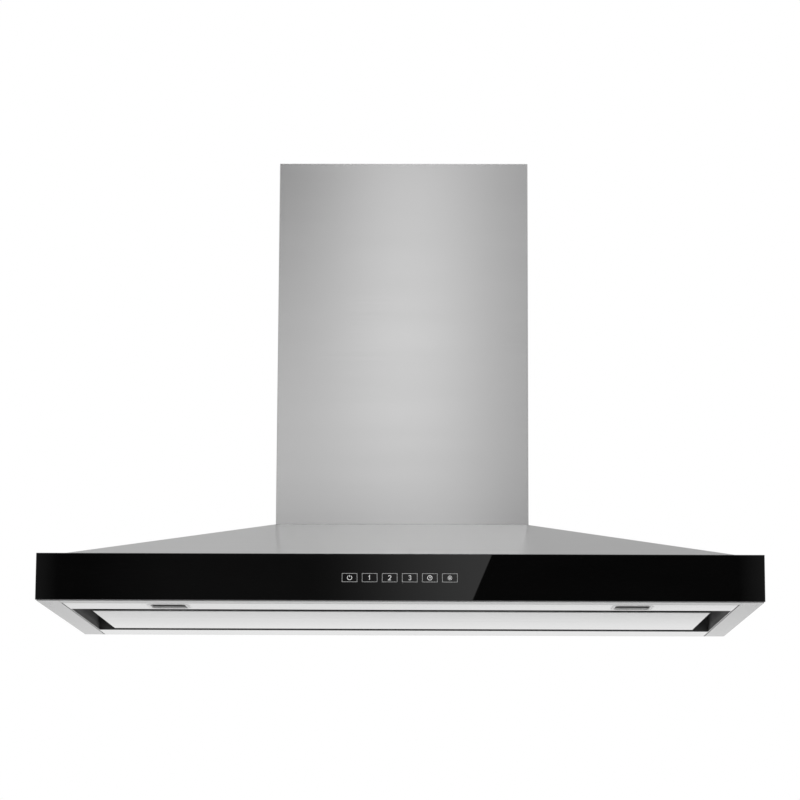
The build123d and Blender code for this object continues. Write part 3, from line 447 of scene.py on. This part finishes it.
def aluminium(name, tone, cells):
    """Mill finish, with cells per metre along each axis that may draw out into lines."""
    material, tree, shader = new_material(name)
    lines = noise(tree, scaled(tree, place(tree), cells), detail=4.0)
    set_inputs(tree, shader, {
        "Metallic": 1.0,
        "Base Color": tones(tree, lines, dark=grey(tone * 0.9, 0.01), light=grey(tone * 1.08, 0.01)),
        "Roughness": between(tree, lines, low=0.28, high=0.42),
        "Normal": bump(tree, lines, strength=0.12, distance=0.08 * MM),
    })
    return material


def moulded(name, dark, light, grain=1400.0, roughness=0.5):
    """Moulded plastic with a fine spark-eroded grain."""
    material, tree, shader = new_material(name)
    fine = noise(tree, place(tree), scale=grain, detail=2.0)
    cloud = noise(tree, place(tree), scale=20.0)
    set_inputs(tree, shader, {
        "Base Color": tones(tree, cloud, dark, light),
        "Roughness": between(tree, fine, low=roughness - 0.08, high=roughness + 0.1),
        "Normal": bump(tree, fine, strength=0.25, distance=0.08 * MM),
    })
    return material


def circuit_board():
    """Solder mask over a square run of copper tracks."""
    material, tree, shader = new_material("circuit_board")
    turned = add(tree, "ShaderNodeMapping", {"Vector": place(tree), "Rotation": (math.pi / 2, 0, 0)})
    squares = {"Vector": turned.outputs[0], "Scale": 260.0, "Randomness": 0.55}
    cells = add(tree, "ShaderNodeTexVoronoi", squares, distance="CHEBYCHEV", feature="F2")
    tracks = cells.outputs["Distance"]
    mask, copper = (0.012, 0.085, 0.035), (0.03, 0.19, 0.075)
    set_inputs(tree, shader, {
        "Roughness": 0.32,
        "Base Color": tones(tree, tracks, dark=mask, light=copper, start=0.55, end=0.7),
        "Normal": bump(tree, tracks, strength=0.15, distance=0.1 * MM),
    })
    return material


def lamp_chrome():
    """Satin chrome with a faint polish round each lamp."""
    material, tree, shader = new_material("lamp_chrome")
    fine = noise(tree, scaled(tree, place(tree), (700, 700, 60)), detail=2.0)
    set_inputs(tree, shader, {
        "Metallic": 1.0,
        "Base Color": tones(tree, fine, dark=grey(0.62), light=grey(0.72)),
        "Roughness": between(tree, fine, low=0.46, high=0.56),
    })
    return material


def smoked_lens():
    """Unlit diffuser, dark and slightly milky."""
    material, tree, shader = new_material("smoked_lens")
    frost = noise(tree, place(tree), scale=1800.0, detail=2.0)
    set_inputs(tree, shader, {
        "IOR": 1.49,
        "Specular IOR Level": 0.15,
        "Base Color": tones(tree, frost, dark=grey(0.02), light=grey(0.035)),
        "Roughness": between(tree, frost, low=0.4, high=0.5),
    })
    return material


def dress_sheet():
    """Gives the folded steel that shows its brushed finishes."""
    canopy = brushed_steel("canopy_steel", "canopy_shell", tone=0.42, upright=0.22, sloped=0.3,
                           front=0.275, rear=0.215, seam_shade_edges=rail_edges)
    chimney = brushed_steel("chimney_steel", "lower_chimney", tone=0.42, upright=0.15, sloped=0.15,
                            front=0.15, rear=0.15)
    pan = brushed_steel("pan_steel", "filter_pan", tone=0.44, upright=0.8, sloped=0.2,
                        front=0.14, rear=0.09, deepest_painted_shade=0.17)
    panel = brushed_steel("panel_steel", "suction_panel", tone=0.44, upright=0.2, sloped=0.2,
                          front=0.21, rear=0.085, deepest_painted_shade=0.06, tray="suction_panel")
    apply(canopy, "canopy_shell")
    apply(chimney, "lower_chimney", "upper_chimney")
    apply(pan, "filter_pan")
    apply(panel, "suction_panel")


def dress_metal():
    """Gives the other metal pieces their materials."""
    drawn = aluminium("drawn_aluminium", tone=0.6, cells=(3, 1200, 1200))
    cast = aluminium("cast_aluminium", tone=0.5, cells=(600, 600, 600))
    apply(galvanised(), "blower_box", "blower_box_top", "chimney_bracket", "panel_hinge_brackets",
          "panel_hinge_lugs", "magnet_brackets", "motor_bracket", "capacitor_clip")
    apply(bright_zinc(), "carrier_screws", "hinge_screws", "power_box_nuts", "bracket_screws",
          "chimney_screws", "blower_box_screws", "volute_screws", "motor_screws", "collar_screws",
          "panel_hinge_pins", "motor_shaft", "motor_bearings", "damper_spindle")
    apply(laminated_steel(), "motor_rotor")
    apply(lamp_chrome(), "lamp_bezels")
    apply(drawn, "filter_frame_left", "filter_frame_right", "filter_mesh_left", "filter_mesh_right")
    apply(cast, "lamp_housings", "motor_body", "run_capacitor")


def dress_rest():
    """Gives glass, boards, plastics and the other pieces their materials."""
    foam = moulded("bonding_foam", dark=grey(0.02), light=grey(0.04), grain=700.0, roughness=0.75)
    black = moulded("black_plastic", dark=grey(0.03), light=grey(0.045))
    pale = moulded("grey_plastic", dark=grey(0.2, 0.02), light=grey(0.26, 0.02), grain=1000.0, roughness=0.46)
    ferrite = moulded("ferrite", dark=grey(0.05), light=grey(0.09), grain=500.0, roughness=0.6)
    sheath = moulded("lead_sheath", dark=grey(0.025), light=grey(0.04), grain=900.0, roughness=0.45)
    apply(black_glass(), "glass_front")
    apply(foam, "glass_tape", "touch_pads")
    apply(circuit_board(), "touch_board", "power_board", "lamp_boards")
    apply(black, "control_carrier", "power_box", "power_box_lid", "cable_gland", "filter_latch_left",
          "filter_latch_right")
    apply(smoked_lens(), "lamp_lenses")
    apply(pale, "volute_left", "volute_right", "impeller", "duct_collar", "damper_flap_front",
          "damper_flap_rear")
    apply(ferrite, "panel_magnets")
    apply(sheath, "lead_lamps", "lead_keys", "lead_motor", "lead_mains")


# Pieces
def new_piece(name, mesh_builder, material, body):
    """A mesh built by a function, riding on a body and given a material."""
    mesh = bpy.data.meshes.new(name)
    work = bmesh.new()
    mesh_builder(work)
    bmesh.ops.recalc_face_normals(work, faces=work.faces)
    work.to_mesh(mesh)
    work.free()
    mesh.materials.append(material)
    piece = bpy.data.objects.new(name, mesh)
    scene.collection.objects.link(piece)
    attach(piece, body)
    return piece


def join_rings(work, near, far):
    """Faces between two closed rings of as many corners."""
    for index in range(len(near)):
        after = (index + 1) % len(near)
        work.faces.new((near[index], near[after], far[after], far[index]))


# Printed keys
def arc(centre, radius, start, end, steps=24):
    """Points along an arc, with the angles in degrees."""
    points = []
    for step in range(steps + 1):
        angle = math.radians(start + (end - start) * step / steps)
        points.append((centre[0] + radius * math.cos(angle), centre[1] + radius * math.sin(angle)))
    return points


def stroke(work, points, width, spot, closed=False):
    """A flat printed line of even width through points in the plane of the glass."""
    line = [Vector(point) for point in points]
    count = len(line)
    left, right = [], []
    for index, point in enumerate(line):
        before = line[index - 1] if index or closed else point
        after = line[(index + 1) % count] if index < count - 1 or closed else point
        ahead = (after - point).normalized() if after != point else (point - before).normalized()
        behind = (point - before).normalized() if before != point else ahead
        normal = Vector((-(ahead.y + behind.y), ahead.x + behind.x)).normalized()
        mitre = width / 2 / max(normal.dot(Vector((-ahead.y, ahead.x))), MITRE_LIMIT)
        for side, row in ((1, left), (-1, right)):
            flat = point + normal * mitre * side
            row.append(work.verts.new((spot.x + flat.x, spot.y, spot.z + flat.y)))
    for index in range(count if closed else count - 1):
        after = (index + 1) % count
        work.faces.new((left[index], left[after], right[after], right[index]))


def power_icon(size):
    """An open ring with a bar in its gap."""
    ring = arc((0, 0), size, start=125, end=415)
    bar = [(0, size * 1.15), (0, size * 0.2)]
    return [(ring, False), (bar, False)]


def one_icon(size):
    """A one with a short upstroke."""
    return [([(-size * 0.45, size * 0.5), (0, size), (0, -size)], False)]


def two_icon(size):
    """A two with a straight foot."""
    bow = arc((0, size * 0.4), size * 0.58, start=165, end=-35, steps=12)
    foot = [(-size * 0.6, -size), (size * 0.65, -size)]
    return [(bow + foot, False)]


def three_icon(size):
    """A three of two bows."""
    upper = arc((0, size * 0.5), size * 0.5, start=150, end=-80, steps=12)
    lower = arc((0, -size * 0.45), size * 0.55, start=80, end=-150, steps=12)
    return [(upper + lower, False)]


def clock_icon(size):
    """A ring with two hands."""
    ring = arc((0, 0), size, start=0, end=345, steps=30)
    hands = [(0, size * 0.6), (0, 0), (size * 0.5, -size * 0.1)]
    return [(ring, True), (hands, False)]


def lamp_icon(size):
    """A small ring with rays."""
    near, far = size * 0.72, size * 1.1
    lines = [(arc((0, 0), size * 0.45, start=0, end=345, steps=20), True)]
    for index in range(RAY_COUNT):
        angle = 2 * math.pi * index / RAY_COUNT
        along = Vector((math.cos(angle), math.sin(angle)))
        lines.append(([along * near, along * far], False))
    return lines


def key_places():
    """Middle of each key on the face of the glass."""
    low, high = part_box("glass_front")
    level = (low.z + high.z) / 2 - KEY_DROP
    places = []
    for index in range(KEY_COUNT):
        places.append(Vector(((index - (KEY_COUNT - 1) / 2) * KEY_PITCH, low.y - INK, level)))
    return places


def key_frames(work):
    """A fine rectangle round each key."""
    across, tall = KEY_WIDTH / 2, KEY_HEIGHT / 2
    corners = [(-across, -tall), (across, -tall), (across, tall), (-across, tall)]
    for spot in key_places():
        stroke(work, corners, KEY_LINE, spot, closed=True)


def key_symbols(work):
    """Plain symbols: power, three speeds, timer and lamp."""
    icons = (power_icon, one_icon, two_icon, three_icon, clock_icon, lamp_icon)
    for spot, icon in zip(key_places(), icons):
        for points, closed in icon(ICON_SIZE):
            stroke(work, points, ICON_LINE, spot, closed)


def printed_keys():
    """Frames and symbols as thin coats of ink on the glass."""
    prints = (("key_frames", key_frames, FRAME_TONE), ("key_symbols", key_symbols, SYMBOL_TONE))
    for name, build, tone in prints:
        printed = new_piece(name, build, key_ink(name, tone), "hood")
        coat = printed.modifiers.new("coat", "SOLIDIFY")
        coat.thickness = INK
        coat.offset = 0


# Filter mesh
def mesh_layer(work, low, high, level, shift):
    """One layer of expanded metal: zigzag strands that meet at the corners of the diamonds."""
    rise = CELL_WIDTH / 4
    rows = int((high.y - low.y) / (2 * rise)) - 1
    steps = int((high.x - low.x) / (CELL_LENGTH / 2)) - 1
    half = STRAND / 2
    profile = ((-half, -half), (half, -half), (half, half), (-half, half))
    left = low.x + ((high.x - low.x) - steps * CELL_LENGTH / 2) / 2
    for row in range(rows):
        middle = low.y + (row + 1) * 2 * rise
        last = None
        for step in range(steps + 1):
            sign = 1 if (step + row + shift) % 2 else -1
            centre = Vector((left + step * CELL_LENGTH / 2, middle + sign * rise, level))
            ring = [work.verts.new(centre + Vector((0, across, up))) for across, up in profile]
            if last:
                join_rings(work, last, ring)
            last = ring


def filter_mesh(side, material):
    """Two layers of expanded mesh in the place of the plain sheet."""
    node = "filter_mesh_" + side
    low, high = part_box(node)

    def build(work):
        mesh_layer(work, low, high, low.z + STRAND / 2, 0)
        mesh_layer(work, low, high, high.z - STRAND / 2, 1)

    piece = new_piece("expanded_mesh_" + side, build, material, "hood")
    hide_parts(node)


# Screws
def islands(name):
    """Corners of the boxes of a node's separate solids."""
    work = bmesh.new()
    work.from_mesh(nodes[name].data)
    bmesh.ops.remove_doubles(work, verts=work.verts, dist=WELD)
    left = set(work.verts)
    boxes = []
    while left:
        reach = [left.pop()]
        found = []
        while reach:
            vert = reach.pop()
            found.append(vert.co.copy())
            for edge in vert.link_edges:
                other = edge.other_vert(vert)
                if other in left:
                    left.remove(other)
                    reach.append(other)
        low = Vector([min(point[axis] for point in found) for axis in range(3)])
        high = Vector([max(point[axis] for point in found) for axis in range(3)])
        boxes.append((low, high))
    work.free()
    return sorted(boxes, key=lambda box: tuple(box[0]))


def cross_outline(turn):
    """Corners of the cross recess, in the plane of the head."""
    near, far = CROSS_WIDTH / 2, CROSS_REACH
    arm = [(far, -near), (far, near), (near, near)]
    points = []
    for quarter in range(4):
        points += [Matrix.Rotation(quarter * math.pi / 2 + turn, 2) @ Vector(point) for point in arm]
    return points


def turned_ring(work, radius, level):
    """Corners of a circle about the screw's axis."""
    ring = []
    for step in range(CIRCLE_STEPS):
        angle = 2 * math.pi * step / CIRCLE_STEPS
        ring.append(work.verts.new((radius * math.cos(angle), radius * math.sin(angle), level)))
    return ring


def ring_edges(work, ring):
    """Edges round a closed ring."""
    return [work.edges.get((ring[index], ring[(index + 1) % len(ring)])) for index in range(len(ring))]


def screw_mesh(work, low, high, outward, turn):
    """A pan-head screw with a cross recess, in the box of a plain one."""
    axis = max(range(3), key=lambda index: abs(outward[index]))
    size = high - low
    head_radius = max(size[index] for index in range(3) if index != axis) / 2
    length = size[axis]
    top = (low + high) / 2 + outward * length / 2
    shank_radius = head_radius * SHANK_SHARE
    profile = [(shank_radius, -length), (shank_radius, -HEAD_HEIGHT)]
    profile += [(head_radius * across, -HEAD_HEIGHT * below) for across, below in HEAD_OUTLINE]
    rings = [turned_ring(work, radius, level) for radius, level in profile]
    for lower, upper in zip(rings, rings[1:]):
        join_rings(work, lower, upper)
    work.faces.new(rings[0])
    outline = cross_outline(turn)
    mouth = [work.verts.new((*point, 0)) for point in outline]
    bottom = [work.verts.new((*(point * CROSS_TAPER), -CROSS_DEPTH)) for point in outline]
    join_rings(work, mouth, bottom)
    work.faces.new(bottom)
    rim = ring_edges(work, rings[-1]) + ring_edges(work, mouth)
    bmesh.ops.triangle_fill(work, edges=rim, use_beauty=True)
    made = [vert for ring in rings for vert in ring] + mouth + bottom
    upright = outward.to_track_quat("Z", "Y").to_matrix().to_4x4()
    bmesh.ops.transform(work, matrix=Matrix.Translation(top) @ upright, verts=made)


def smooth_by_angle(piece):
    """Smooth shading with sharp edges kept."""
    for face in piece.data.polygons:
        face.use_smooth = True
    edges = piece.modifiers.new("edges", "EDGE_SPLIT")
    edges.split_angle = SHARP_EDGE


def cross_screws(name, material, outward=None):
    """Screws with cross recesses for a node's plain ones, which face outward or else to both sides."""
    boxes = islands(name)

    def build(work):
        for index, (low, high) in enumerate(boxes):
            facing = Vector((math.copysign(1, low.x), 0, 0)) if outward is None else outward
            screw_mesh(work, low, high, facing, index * TURN_STEP)

    piece = new_piece(name + "_cross", build, material, nodes[name]["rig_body"])
    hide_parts(name)
    smooth_by_angle(piece)


def screws(material):
    """Screws that face both sides, upwards and forwards."""
    cross_screws("chimney_screws", material)
    for name in ("blower_box_screws", "collar_screws"):
        cross_screws(name, material, UP)
    for name in ("hinge_screws", "bracket_screws"):
        cross_screws(name, material, FORWARD)


# Lamp lenses
def ribbed_plate(work, low, high):
    """A plate with rounded corners, and fine ribs along its underside that spread the light."""
    middle, half = (low + high) / 2, (high - low) / 2
    rows = []
    for step in range(RIB_STEPS + 1):
        along = half.y * (2 * step / RIB_STEPS - 1)
        past = min(max(abs(along) - half.y + LENS_CORNER, 0), LENS_CORNER)
        reach = half.x - LENS_CORNER + math.sqrt(LENS_CORNER ** 2 - past ** 2)
        under = low.z + RIB_HEIGHT * (step % 2)
        section = ((-reach, under), (reach, under), (reach, high.z), (-reach, high.z))
        corners = [(middle.x + across, middle.y + along, level) for across, level in section]
        rows.append([work.verts.new(corner) for corner in corners])
    for near, far in zip(rows, rows[1:]):
        join_rings(work, near, far)
    work.faces.new(rows[0])
    work.faces.new(rows[-1])


def ribbed_lenses(material):
    """Ribbed lenses in the place of the plain ones."""
    boxes = islands("lamp_lenses")

    def build(work):
        for low, high in boxes:
            ribbed_plate(work, low, high)

    piece = new_piece("ribbed_lenses", build, material, "hood")
    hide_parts("lamp_lenses")


# Studio
def white_world():
    """White wherever the camera or a reflection looks, and softer as a light."""
    world = bpy.data.worlds.new("studio")
    scene.world = world
    world.use_nodes = True
    tree = world.node_tree
    tree.nodes.clear()
    path = add(tree, "ShaderNodeLightPath").outputs
    seen = math_node(tree, "MAXIMUM", path["Is Camera Ray"], path["Is Glossy Ray"])
    seen = math_node(tree, "MAXIMUM", seen, path["Is Transmission Ray"])
    soft = add(tree, "ShaderNodeBackground", {"Color": WHITE, "Strength": WORLD_LIGHT})
    white = add(tree, "ShaderNodeBackground", {"Color": WHITE, "Strength": 1.0})
    sky = add(tree, "ShaderNodeMixShader", {0: seen, 1: soft.outputs[0], 2: white.outputs[0]})
    output = add(tree, "ShaderNodeOutputWorld", {"Surface": sky.outputs[0]})
    output.is_active_output = True


def stage_mesh(name, corners, material):
    """A flat stage panel between corners."""
    mesh = bpy.data.meshes.new(name)
    mesh.from_pydata([tuple(corner) for corner in corners], [], [tuple(range(len(corners)))])
    mesh.materials.append(material)
    panel = bpy.data.objects.new(name, mesh)
    scene.collection.objects.link(panel)
    return panel


def level_corners(half, front, rear, level):
    """Corners of a level panel."""
    return [(-half, front, level), (half, front, level), (half, rear, level), (-half, rear, level)]


def floor():
    """Pale floor that fades into the white surroundings and is clear from below."""
    material, tree, shader = new_material("pale_floor")
    spot = place(tree)
    reach = add(tree, "ShaderNodeVectorMath", {0: spot}, operation="LENGTH").outputs["Value"]
    fade = between(tree, reach, low=0.0, high=1.0, start=FLOOR_CORE, end=FLOOR_RADIUS, rise="SMOOTHSTEP")
    grain = noise(tree, spot, scale=6.0, detail=4.0)
    set_inputs(tree, shader, {
        "Base Color": tones(tree, grain, dark=grey(0.80), light=grey(0.83)),
        "Roughness": 0.9,
    })
    below = add(tree, "ShaderNodeNewGeometry").outputs["Backfacing"]
    hidden = math_node(tree, "MAXIMUM", fade, below)
    clear = add(tree, "ShaderNodeBsdfTransparent")
    fading = add(tree, "ShaderNodeMixShader", {0: hidden, 1: shader.outputs[0], 2: clear.outputs[0]})
    set_inputs(tree, tree.nodes["Material Output"], {"Surface": fading.outputs[0]})
    panel = stage_mesh("floor", level_corners(FLOOR_RADIUS, -FLOOR_RADIUS, FLOOR_RADIUS, 0), material)
    panel.location = (0, HOOD_MIDDLE, FLOOR_LEVEL)


# Cards, each with a function that gives its strength from place to place
def glow(name, strength_of):
    """A light card's material, with its strength worked out from its place by a function."""
    material = bpy.data.materials.new(name)
    material.use_nodes = True
    tree = material.node_tree
    tree.nodes.clear()
    strength = strength_of(tree, split(tree, place(tree)))
    shine = add(tree, "ShaderNodeEmission", {"Color": WHITE, "Strength": strength})
    add(tree, "ShaderNodeOutputMaterial", {"Surface": shine.outputs[0]})
    return material


def card(name, corners, strength_of):
    """A card that stays out of the picture and of the diffuse light: only reflections show it."""
    panel = stage_mesh(name, corners, glow(name, strength_of))
    panel.visible_camera = False
    panel.visible_diffuse = False
    panel.visible_transmission = False
    panel.visible_shadow = False


def facing_corners(half, low, high, depth):
    """Corners of an upright card that faces the hood."""
    return [(-half, depth, low), (half, depth, low), (half, depth, high), (-half, depth, high)]


def side_corners(x):
    """Corners of an upright card at one end of the hood."""
    outline = ((-SIDE_HALF, SIDE_LOW), (SIDE_HALF, SIDE_LOW), (SIDE_HALF, SIDE_TOP), (-SIDE_HALF, SIDE_TOP))
    return [(x, along, level) for along, level in outline]


def slant_place(level):
    """Where the slanted edge of the light in the glass crosses a level."""
    return SLANT_PLACE + (level - SLANT_LEVEL) * SLANT_LEAN


def slanted_corners():
    """Corners of the card whose slanted right edge the glass mirrors."""
    return [(GLASS_CARD_LEFT, CARD_DEPTH, FLAG_LOW), (slant_place(FLAG_LOW), CARD_DEPTH, FLAG_LOW),
            (slant_place(CARD_SPLIT), CARD_DEPTH, CARD_SPLIT), (GLASS_CARD_LEFT, CARD_DEPTH, CARD_SPLIT)]


def bell_curve(tree, along, middle, spread):
    """One at the middle, falling to nothing over about twice the spread."""
    offset = math_node(tree, "DIVIDE", math_node(tree, "SUBTRACT", along, middle), spread)
    return math_node(tree, "POWER", 1 / math.e, math_node(tree, "MULTIPLY", offset, offset))


def side_strength(tree, spot):
    """Brightest along the middle, and dimmer towards the floor."""
    bell = math_node(tree, "MULTIPLY", bell_curve(tree, spot["Y"], SIDE_MIDDLE, SIDE_SPREAD), SIDE_GAIN)
    return math_node(tree, "ADD", bell, between(tree, spot["Z"], low=0.62, high=0.9, start=-0.5, end=1.2))


def softbox_strength(tree, spot):
    """Brightest along the middle, dim at the upper left and bright again near the ceiling."""
    x, z = spot["X"], spot["Z"]
    bell = bell_curve(tree, x, SOFTBOX_MIDDLE, SOFTBOX_SPREAD)
    total = math_node(tree, "MULTIPLY", bell, between(tree, z, low=0.2, high=0.84, start=0.5, end=0.97))
    low_edge = between(tree, z, low=0.5, high=0.0, start=CARD_SPLIT, end=0.88)
    side = between(tree, z, low=0.88, high=0.62, start=1.0, end=1.75)
    dip = between(tree, z, low=0.0, high=-0.25, start=1.5, end=2.0)
    tilt = between(tree, z, low=-0.65, high=0.27, start=CARD_SPLIT, end=1.75)
    lean = math_node(tree, "MULTIPLY", x, tilt)
    top = between(tree, z, low=0.0, high=5.0, start=2.9, end=3.3)
    for part in (low_edge, side, dip, lean, top):
        total = math_node(tree, "ADD", total, part)
    return math_node(tree, "MAXIMUM", total, 0.0)


def flag_strength(tree, spot):
    """Dark, with a little light past both ends of the glass."""
    reach = math_node(tree, "ABSOLUTE", math_node(tree, "SUBTRACT", spot["X"], FLAG_MIDDLE))
    return between(tree, reach, low=0.03, high=0.22, start=0.92, end=1.0)


def glass_light_strength(tree, spot):
    """Light that rises towards the slanted edge of the card."""
    faint = between(tree, spot["X"], low=0.03, high=0.085, start=GLASS_CARD_LEFT, end=-0.68)
    rising = between(tree, spot["X"], low=0.0, high=0.77, start=-0.31, end=0.22, rise="SMOOTHSTEP")
    return math_node(tree, "ADD", faint, rising)


def ceiling_strength(tree, spot):
    """A little brighter on the left."""
    return between(tree, spot["X"], low=0.87, high=0.75, start=-0.4, end=0.4)


def cards():
    """Cards that shape the reflections in the steel and the glass."""
    softbox = facing_corners(SOFTBOX_HALF, CARD_SPLIT, CARD_TOP, CARD_DEPTH - 2 * CARD_STEP)
    flag = facing_corners(FLAG_HALF, FLAG_LOW, CARD_SPLIT, CARD_DEPTH - CARD_STEP)
    ceiling = level_corners(CEILING_HALF, CEILING_FRONT, CEILING_REAR, CEILING_LEVEL)
    card("tall_softbox", softbox, softbox_strength)
    card("dark_flag", flag, flag_strength)
    card("slanted_card", slanted_corners(), glass_light_strength)
    card("left_softbox", side_corners(-SIDE_DISTANCE), side_strength)
    card("right_softbox", side_corners(SIDE_DISTANCE), side_strength)
    card("ceiling_card", ceiling, ceiling_strength)


# Lamps and camera
def lamp(name, spot, power):
    """A round soft lamp that points at the hood and shows in no reflection."""
    data = bpy.data.lights.new(name, "AREA")
    data.shape = "DISK"
    data.size = LAMP_SIZE
    data.energy = power
    light = bpy.data.objects.new(name, data)
    scene.collection.objects.link(light)
    light.location = spot
    light.rotation_euler = (LAMP_TARGET - Vector(spot)).to_track_quat("-Z", "Y").to_euler()
    light.visible_camera = False
    light.visible_glossy = False


def camera():
    """A long lens in front of the hood, a little below it."""
    data = bpy.data.cameras.new("photo_camera")
    data.sensor_width = SENSOR
    data.lens = FOCAL_PIXELS / IMAGE_SIDE * SENSOR
    data.clip_end = VIEW_RANGE
    turn = (Matrix.Rotation(CAMERA_YAW, 3, "Z") @ Matrix.Rotation(CAMERA_PITCH, 3, "X")
            @ Matrix.Rotation(CAMERA_ROLL, 3, "Y"))
    right, forward, upward = turn.col
    turned = Matrix((right, upward, -forward)).transposed().to_4x4()
    eye = bpy.data.objects.new("photo_camera", data)
    scene.collection.objects.link(eye)
    eye.matrix_world = Matrix.Translation(CAMERA_PLACE) @ turned
    scene.camera = eye


camera()
dress_sheet()
dress_metal()
dress_rest()
printed_keys()
for side in ("left", "right"):
    filter_mesh(side, bpy.data.materials["drawn_aluminium"])
screws(bpy.data.materials["bright_zinc"])
ribbed_lenses(bpy.data.materials["smoked_lens"])
white_world()
floor()
cards()
lamp("key_lamp", spot=(-1.9, -2.8, 1.9), power=55)
lamp("fill_lamp", spot=(2.3, -2.2, 0.9), power=30)
lamp("back_lamp", spot=(0.8, 2.6, 1.4), power=35)
